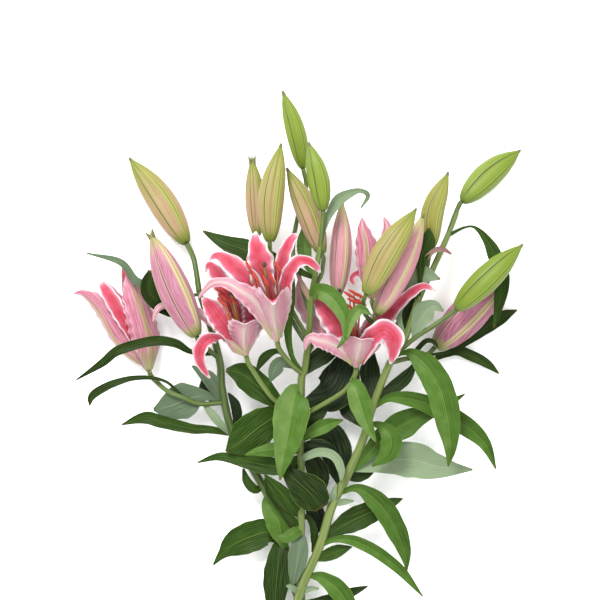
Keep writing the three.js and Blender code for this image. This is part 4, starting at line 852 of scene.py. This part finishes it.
LEAF = leaf_material(
    "leaf upper face", [
        # The lowest stop is the painted shade of leaves that lie in shade under others.
        (0.0, (20, 30, 22)), (0.25, (20, 44, 5)), (0.5, (34, 68, 8)), (0.75, (78, 118, 40)),
        (1.0, (140, 168, 100))],
    vein=(150, 180, 84), vein_share=0.26, gloss=0.34, raised=-0.6)
UNDERSIDE = leaf_material(
    "leaf underside", [(0.0, (70, 88, 72)), (0.5, (100, 124, 92)), (1.0, (146, 168, 130))],
    vein=(190, 204, 168), vein_share=0.3, gloss=0.44, raised=0.6)
DRIED = dried_material()
STEM_SKIN = stem_material()
CUT_END = cut_material()
BUD_SKINS = {
    "green": bud_material(
        "green bud", body=(126, 152, 36), flush=(146, 166, 62), share=0.2, rib=(96, 124, 30),
        beside=(168, 184, 84), seam=(56, 76, 18), streaks=(164, 180, 84), fade=0.5),
    "flushed": bud_material(
        "flushed bud", body=(154, 158, 58), flush=(208, 174, 140), share=0.7, rib=(140, 150, 58),
        beside=(204, 200, 130), seam=(92, 86, 26), streaks=(190, 128, 116), fade=0.35),
    "pink": bud_material(
        "pink bud", body=(210, 194, 132), flush=(210, 150, 168), share=0.8, rib=(180, 166, 96),
        beside=(236, 214, 186), seam=(132, 70, 84), streaks=(170, 74, 110), fade=0.7),
    # Painted light: a lighter copy of the pink skin, for pink buds that lie in shade under others.
    "painted-lit pink": bud_material(
        "light pink bud", body=(238, 222, 156), flush=(244, 176, 190), share=0.8, rib=(206, 190, 112),
        beside=(252, 238, 208), seam=(150, 92, 92), streaks=(212, 112, 144), fade=0.7),
}
TEPAL_INNER = tepal_inner_material()
TEPAL_OUTER = tepal_outer_material()
FILAMENT = plain_material("filament", (208, 78, 50), (226, 124, 84), 300, 0.5)
ANTHER = plain_material("anther", (172, 34, 20), (214, 66, 34), 900, 0.9)
STYLE = plain_material("style", (122, 112, 38), (164, 142, 62), 200, 0.4)
STIGMA = plain_material("stigma", (50, 28, 24), (92, 50, 40), 500, 0.3)
BUD_TIP = plain_material("bud tip", (84, 84, 36), (132, 138, 62), 300, 0.6)
TWINE = plain_material("twine", (150, 118, 72), (206, 178, 126), 1200, 0.9)
SPECK = plain_material("raised speck", (150, 16, 50), (184, 30, 64), 400, 0.5)


# Stems and leaves

def stalk_points(stalk, base, facing):
    """The stalk's line, on to just short of the base that it carries."""
    width = stalk[-1][3]
    ends = [[*(np.array(base) - facing * back), width] for back in (STALK_LEAD + SEAT_GAP, SEAT_GAP)]
    return [*stalk, *ends]


def bud_facing(bud):
    """The way that a bud's axis starts."""
    _, along, _ = follow([[*point, 1] for point in bud["axis"]], 1)
    return along[0]


def ribbed(reach, angle):
    """A stem's skin, with faint ridges that wander as they rise."""
    return 1 + 0.025 * np.cos(5 * angle + 9 * reach) + 0.015 * np.sin(11 * angle - 25 * reach)


def add_scars(shape, points, draw):
    """The low crescents that stripped leaves leave, spiralling up the bare lower stem."""
    rows, along, _ = follow(points, 1)
    side = level_side(along)
    other = np.cross(along, side)
    bare = [row for row in range(FIRST_SCAR, len(rows), SCAR_GAP) if rows[row, 1] <= SCARS_END]
    for number, row in enumerate(bare, 1):
        angle = number * SCAR_TURN + draw.uniform(-0.3, 0.3)
        outwards = side[row] * math.cos(angle) + other[row] * math.sin(angle)
        centre = rows[row, :3] + outwards * rows[row, 3] * 0.47
        half = np.cross(along[row], outwards) * (rows[row, 3] * 0.3)
        sunk = outwards * SCAR_BOW
        line = np.array([centre - half - sunk, centre + along[row] * SCAR_BOW, centre + half - sunk])
        tube(shape, np.column_stack([line, SCAR_WIDTHS]), sides=6, step=0.6, tone=0.2)


def leaf_margin(draw):
    """Slow waves along each margin of a leaf."""
    waves = draw.uniform(1.5, 3)
    phases = (draw.uniform(0, 6), draw.uniform(0, 6))

    def margin(reach, shares, width):
        phase = np.where(shares < 0, *phases)
        wave = np.sin(reach * waves * 2 * math.pi + phase) * np.abs(shares) ** 2 * width * LEAF_WAVE
        return wave, 0.02 * np.sin(reach * waves * 14 + phase)

    return margin


def make_stem(name, draw):
    skin = Shape()
    tube(skin, STEMS[name], STEM_SIDES, STEM_STEP, tone=STEM_TONES[name], size=ribbed, end_look=1)
    add_scars(skin, STEMS[name], draw)
    stalks = [(bud["stalk"], bud["axis"][0], bud_facing(bud), BUD_STALK_TONE) for bud in BUDS[name]]
    stalks += [(bloom["stalk"], bloom["base"], unit(np.array(bloom["facing"], float)), BLOOM_STALK_TONE)
               for bloom in BLOOMS if bloom["stem"] == name]
    for stalk, base, facing, tone in stalks:
        tube(skin, stalk_points(stalk, base, facing), STALK_SIDES, STEM_STEP, tone=tone, size=ribbed)
    piece(name + "_skin", skin, [STEM_SKIN, CUT_END], name)
    leaves = Shape()
    for tone, cup, spine in LEAVES[name]:
        turn = [draw.uniform(-most, most) for most in LEAF_TURNS]
        shade = TONES[tone] + draw.uniform(-TONE_SPREAD, TONE_SPREAD)
        blade(leaves, spine, cup, LEAF_THICKNESS, LEAF_COLUMNS, LEAF_STEP, turn=turn,
              looks=LOOKS.get(tone, (0, 1)), tone=shade, margin=leaf_margin(draw))
    piece(name + "_leaves", leaves, [LEAF, UNDERSIDE, DRIED], name)


# Buds

def bud_section(turn):
    """A closed bud's outline: three swelling tepals with a seam between each two, which part at the tip."""
    def size(reach, angle):
        sector = (angle + math.radians(turn + 90)) / (2 * math.pi) * 3 % 1
        out = np.abs(2 * sector - 1)
        groove = np.exp(-((1 - out) / 0.1) ** 2)
        rib = np.exp(-(out / 0.1) ** 2)
        parting = np.clip((reach - 0.82) / 0.18, 0, 1) ** 2
        return 1 + 0.05 * np.cos(math.pi * out) + 0.02 * rib - groove * (0.1 + 0.25 * parting)
    return size


def add_points(shape, end, along, turn, spread):
    """The three points of a closed bud's tepals, dark, standing off the end of its axis by the spread."""
    side = level_side(along[None])[0]
    other = np.cross(along, side)
    for number in range(3):
        angle = (number + 0.5) / 3 * 2 * math.pi - math.radians(turn + 90)
        away = side * math.cos(angle) + other * math.sin(angle)
        line = [[*(end + along * shift + away * off), width] for shift, off, width in (
            (-9 - spread, 1.5, 2 + spread / 3), (-3, 0.6 + spread / 2.5, 2.8 + spread / 6),
            (1.2 + spread / 3, spread, 0.6))]
        tube(shape, line, sides=8, step=0.8, look=1)


def make_bud(name, bud):
    """The closed body with its tepals' points, or the slim core of a bud that opens and its tepals."""
    shape = Shape()
    is_open = bud.get("open", False)
    profile = np.array(OPEN_PROFILE if is_open else BUD_PROFILE)
    rows, along, length = follow([[*point, 1] for point in bud["axis"]], 1)
    reach = np.linspace(0, 1, BUD_ROWS)
    line = np.column_stack([np.interp(reach, np.linspace(0, 1, len(rows)), column) for column in rows.T])
    knots = np.column_stack([profile, np.zeros(len(profile)), np.zeros(len(profile))])
    smooth, _, _ = follow(knots, 0.01)
    line[:, 3] = np.interp(reach, smooth[:, 0], smooth[:, 1]) * bud["width"]
    tube(shape, line, BUD_COLUMNS, length / BUD_ROWS, tone=bud.get("flush", 1), size=bud_section(bud["turn"]))
    if not is_open:
        add_points(shape, rows[-1, :3], along[-1], bud["turn"], bud.get("spread", POINT_SPREAD))
    piece(name + "_body", shape, [BUD_SKINS[bud.get("skin", bud["colour"])], BUD_TIP], name)
    draw = random.Random(name)
    for number, tepal in enumerate(bud.get("tepals", []), 1):
        make_tepal(f"{name}_tepal_{number}", tepal, draw, BUD_RUFFLE, name, tone=1)


# Blooms

def tepal_margin(draw, depth):
    """The crimped margin of a tepal: quick waves at the edge that die away inwards and at the base."""
    waves = draw.uniform(6, 9)
    phases = (draw.uniform(0, 6), draw.uniform(0, 6))

    def margin(reach, shares, width):
        phase = np.where(shares < 0, *phases)
        grown = np.clip((reach - 0.12) / 0.3, 0, 1) * np.clip((1.02 - reach) / 0.2, 0, 1)
        turning = reach * waves * 2 * math.pi + phase + 0.8 * np.sin(reach * 9 + phase)
        wave = np.sin(turning) * np.abs(shares) ** 3 * width * depth * grown
        furrow = -FURROW_DEPTH * np.exp(-(shares / 0.1) ** 2) * np.clip((0.9 - reach) / 0.4, 0, 1)
        return wave + furrow, 0.07 * np.sin(turning + 1.3) * np.abs(shares) ** 2 * grown

    return margin


def make_tepal(name, tepal, draw, ruffle, node, tone=0):
    shape = Shape()
    spine, face, outer = tepal["spine"], tepal.get("face"), tepal.get("outer", False)
    side = None
    if face is not None:
        side = unit(np.cross(np.subtract(spine[-2][:3], spine[0][:3]), face))
    cup = tepal.get("cup", TEPAL_CUP)
    upper, out = blade(shape, spine, -cup if outer else cup, TEPAL_THICKNESS, TEPAL_COLUMNS, TEPAL_STEP,
                       side=side, roll=tepal.get("roll", 0), looks=(1, 0) if outer else (0, 1), tone=tone,
                       margin=tepal_margin(draw, ruffle))
    if side is None and not outer:
        add_specks(shape, upper, out, draw)
    piece(name, shape, [TEPAL_INNER, TEPAL_OUTER, SPECK], node)


def add_specks(shape, upper, out, draw):
    """Small raised points scattered over the lower middle of an inner face."""
    rows, columns = upper.shape[:2]
    angles = np.radians(np.arange(0, 360, 60))[:, None]
    for _ in range(SPECKS):
        row = int(rows * draw.uniform(0.2, 0.62))
        column = int(columns * draw.triangular(0.16, 0.84, 0.5))
        centre, up = upper[row, column], out[row]
        one = unit(np.cross(up, [1.0, 0.2, 0.1]))
        other = np.cross(up, one)
        ring = centre + (one * np.cos(angles) + other * np.sin(angles)) * SPECK_RADIUS - up * SPECK_SINK
        first = shape.add([*ring, centre + up * SPECK_HEIGHT], 0.5)
        shape.fan(first + 6, list(range(first, first + 6)), (0.5, 0.5), 2, flip=True)


def add_stamen(shape, root, end, lean, draw):
    middle = (root + end) / 2 + UP * STAMEN_ARCH
    tube(shape, [[*root, FILAMENT_WIDTH], [*middle, FILAMENT_WIDTH], [*end, FILAMENT_WIDTH * 0.6]],
         sides=8, step=2)
    lean = unit(lean + [draw.uniform(-0.12, 0.12) for _ in range(3)])
    bow = unit(np.cross(lean, [1.0, 0.3, 0.2])) * ANTHER_BOW
    line = [[*(end + lean * ANTHER_LENGTH / 2 * share + bow * share ** 2),
             ANTHER_WIDTH * math.sqrt(1.02 - share ** 2)] for share in np.linspace(-1, 1, 7)]
    tube(shape, line, sides=12, step=0.8, look=1,
         size=lambda reach, angle: 1 - 0.28 * np.cos(angle) ** 8 + 0 * reach)


def add_pistil(shape, root, tip):
    middle = (root + tip) / 2 + UP * STAMEN_ARCH
    near = root + (tip - root) * 0.95
    way = unit(tip - root)
    tube(shape, [[*root, STYLE_WIDTH], [*middle, STYLE_WIDTH], [*near, STYLE_WIDTH * 1.1]],
         sides=12, step=2)
    line = [[*(near - way), 1.5], [*near, 3.6], [*(near + way * 1.6), STIGMA_WIDTH],
            [*tip, STIGMA_WIDTH * 0.7]]
    tube(shape, line, sides=18, step=0.5, look=1,
         size=lambda reach, angle: 1 + 0.2 * np.cos(3 * angle) * np.clip(reach * 2, 0, 1))


def make_bloom(bloom):
    name = bloom["name"]
    draw = random.Random(name)
    base = np.array(bloom["base"], float)
    facing = unit(np.array(bloom["facing"], float))
    for number, tepal in enumerate(bloom["tepals"], 1):
        make_tepal(f"{name}_tepal_{number}", tepal, draw, BLOOM_RUFFLE, name)
    cup, stamens, pistil = Shape(), Shape(), Shape()
    low, high = RECEPTACLE_WIDTHS
    tube(cup, [[*base, low], [*(base + facing * RECEPTACLE_LENGTH), high]], sides=16, step=1)
    heart = base + facing * RECEPTACLE_LENGTH * STAMEN_START
    lean = unit(np.array(bloom["lean"], float))
    for end in np.array(bloom["anthers"], float):
        outwards = end - heart
        outwards = unit(outwards - outwards @ facing * facing) * STAMEN_SPREAD
        add_stamen(stamens, heart + outwards, end, lean, draw)
    add_pistil(pistil, heart, np.array(bloom["stigma"], float))
    piece(name + "_receptacle", cup, [TEPAL_OUTER], name)
    piece(name + "_stamens", stamens, [FILAMENT, ANTHER], name)
    piece(name + "_pistil", pistil, [STYLE, STIGMA], name)


# The tie

def belt(y, spare):
    """Points round the three stems at y, as a belt that far off their skins."""
    centres = []
    for points in STEMS.values():
        rows, _, _ = follow(points, 1)
        row = rows[np.argmin(np.abs(rows[:, 1] - y))]
        centres.append((row[0], row[2]))
    centres = np.array(centres)
    angles = np.linspace(0, 2 * math.pi, BELT_POINTS, endpoint=False)
    ways = np.column_stack([np.cos(angles), np.sin(angles)])
    nearest = centres[np.argmax(centres @ ways.T, axis=0)]
    return nearest + ways * (STEM_RADIUS_AT_TIE + spare)


def strands(twist):
    """The section of a three-strand twine, by how far it is twisted over the whole length."""
    return lambda reach, angle: 1 + STRAND_DEPTH * np.cos(3 * angle + reach * twist)


def make_tie():
    low, high = TIE_ENDS
    middle = (low + high) / 2
    wound = Shape()
    turns = []
    for turn in range(TIE_TURNS):
        for number, (x, z) in enumerate(belt(middle, TWINE_LIFT)):
            share = (turn + number / BELT_POINTS) / TIE_TURNS
            turns.append([x, low + TIE_INSET + (high - low - 2 * TIE_INSET) * share, z, TWINE_WIDTH])
    tube(wound, turns[::3], TWINE_SIDES, TWINE_STEP, size=strands(900))
    piece("tie_twine", wound, [TWINE], "tie")
    knot = Shape()
    x, z = KNOT
    for number, (away, drop) in enumerate(((-1, 16), (1, 22))):
        tube(knot, [[x, middle, z, 3.4], [x + 6 * away, middle + 3 * away, z + 3, 2.2],
                    [x + 13 * away, middle - drop / 2, z + 1, 2], [x + 15 * away, middle - drop, z - 1, 2.2]],
             TWINE_SIDES, TWINE_STEP, size=strands(60))
        tube(knot, [[x - 4, middle - 3 + 4 * number, z, 2.6], [x, middle + 1 + 3 * number, z + 3, 3.2],
                    [x + 4, middle - 3 + 4 * number, z, 2.6]], TWINE_SIDES, TWINE_STEP)
    piece("tie_knot", knot, [TWINE], "tie")


# Floor, light and camera, in metres but for the middle of the picture, which is a table point

FLOOR_REACH = 20.0
FLOOR_DROP = 0.0005
ROOM_LIGHT = 1.6
LIGHTS = (("key", (-0.7, 1.6, 2.2), 1.0, 110), ("fill", (1.4, -0.6, 2.4), 2.0, 12))
LIT_SPOT = (0, 0.1, 0)
PICTURE_MIDDLE = (0, 300, 0)
PICTURE_SIZE = 0.6
CAMERA_HEIGHT = 8.0
PICTURE_PLANE = 0.045
SENSOR = 36.0


def add_to_scene(name, data, spot):
    made = bpy.data.objects.new(name, data)
    made.location = spot
    bpy.context.scene.collection.objects.link(made)
    return made


def make_studio():
    mesh = bpy.data.meshes.new("floor")
    corners = [(x * FLOOR_REACH, y * FLOOR_REACH, 0) for x, y in ((-1, -1), (1, -1), (1, 1), (-1, 1))]
    mesh.from_pydata(corners, [], [(0, 1, 2, 3)])
    mesh.materials.append(Paint("pale floor", Roughness=0.9, Specular_IOR_Level=0.1).finish((1, 1, 1, 1)))
    floor = add_to_scene("floor", mesh, (0, 0, -FLOOR_DROP))
    world = bpy.data.worlds.new("studio")
    world.use_nodes = True
    world.node_tree.nodes["Background"].inputs["Color"].default_value = (1, 1, 1, 1)
    world.node_tree.nodes["Background"].inputs["Strength"].default_value = ROOM_LIGHT
    bpy.context.scene.world = world
    for name, spot, size, power in LIGHTS:
        data = bpy.data.lights.new(name, "AREA")
        data.size = size
        data.energy = power
        light = add_to_scene(name, data, spot)
        light.rotation_euler = (Vector(LIT_SPOT) - Vector(spot)).to_track_quat("-Z", "Y").to_euler()
        light.visible_camera = False
    bpy.context.scene.view_settings.view_transform = "Standard"


def make_camera():
    """Looks straight down on the middle of the photograph's square."""
    data = bpy.data.cameras.new("camera")
    data.sensor_width = SENSOR
    data.lens = SENSOR * CAMERA_HEIGHT / PICTURE_SIZE
    data.clip_end = 100
    x, y, _ = place(PICTURE_MIDDLE)
    bpy.context.scene.camera = add_to_scene("camera", data, (x, y, PICTURE_PLANE + CAMERA_HEIGHT))


make_camera()
make_studio()
for stem_number, stem_name in enumerate(STEMS):
    make_stem(stem_name, random.Random(stem_number))
for bud_number, each_bud in enumerate((bud for buds in BUDS.values() for bud in buds), 1):
    make_bud(f"bud_{bud_number:02}", each_bud)
for each_bloom in BLOOMS:
    make_bloom(each_bloom)
make_tie()
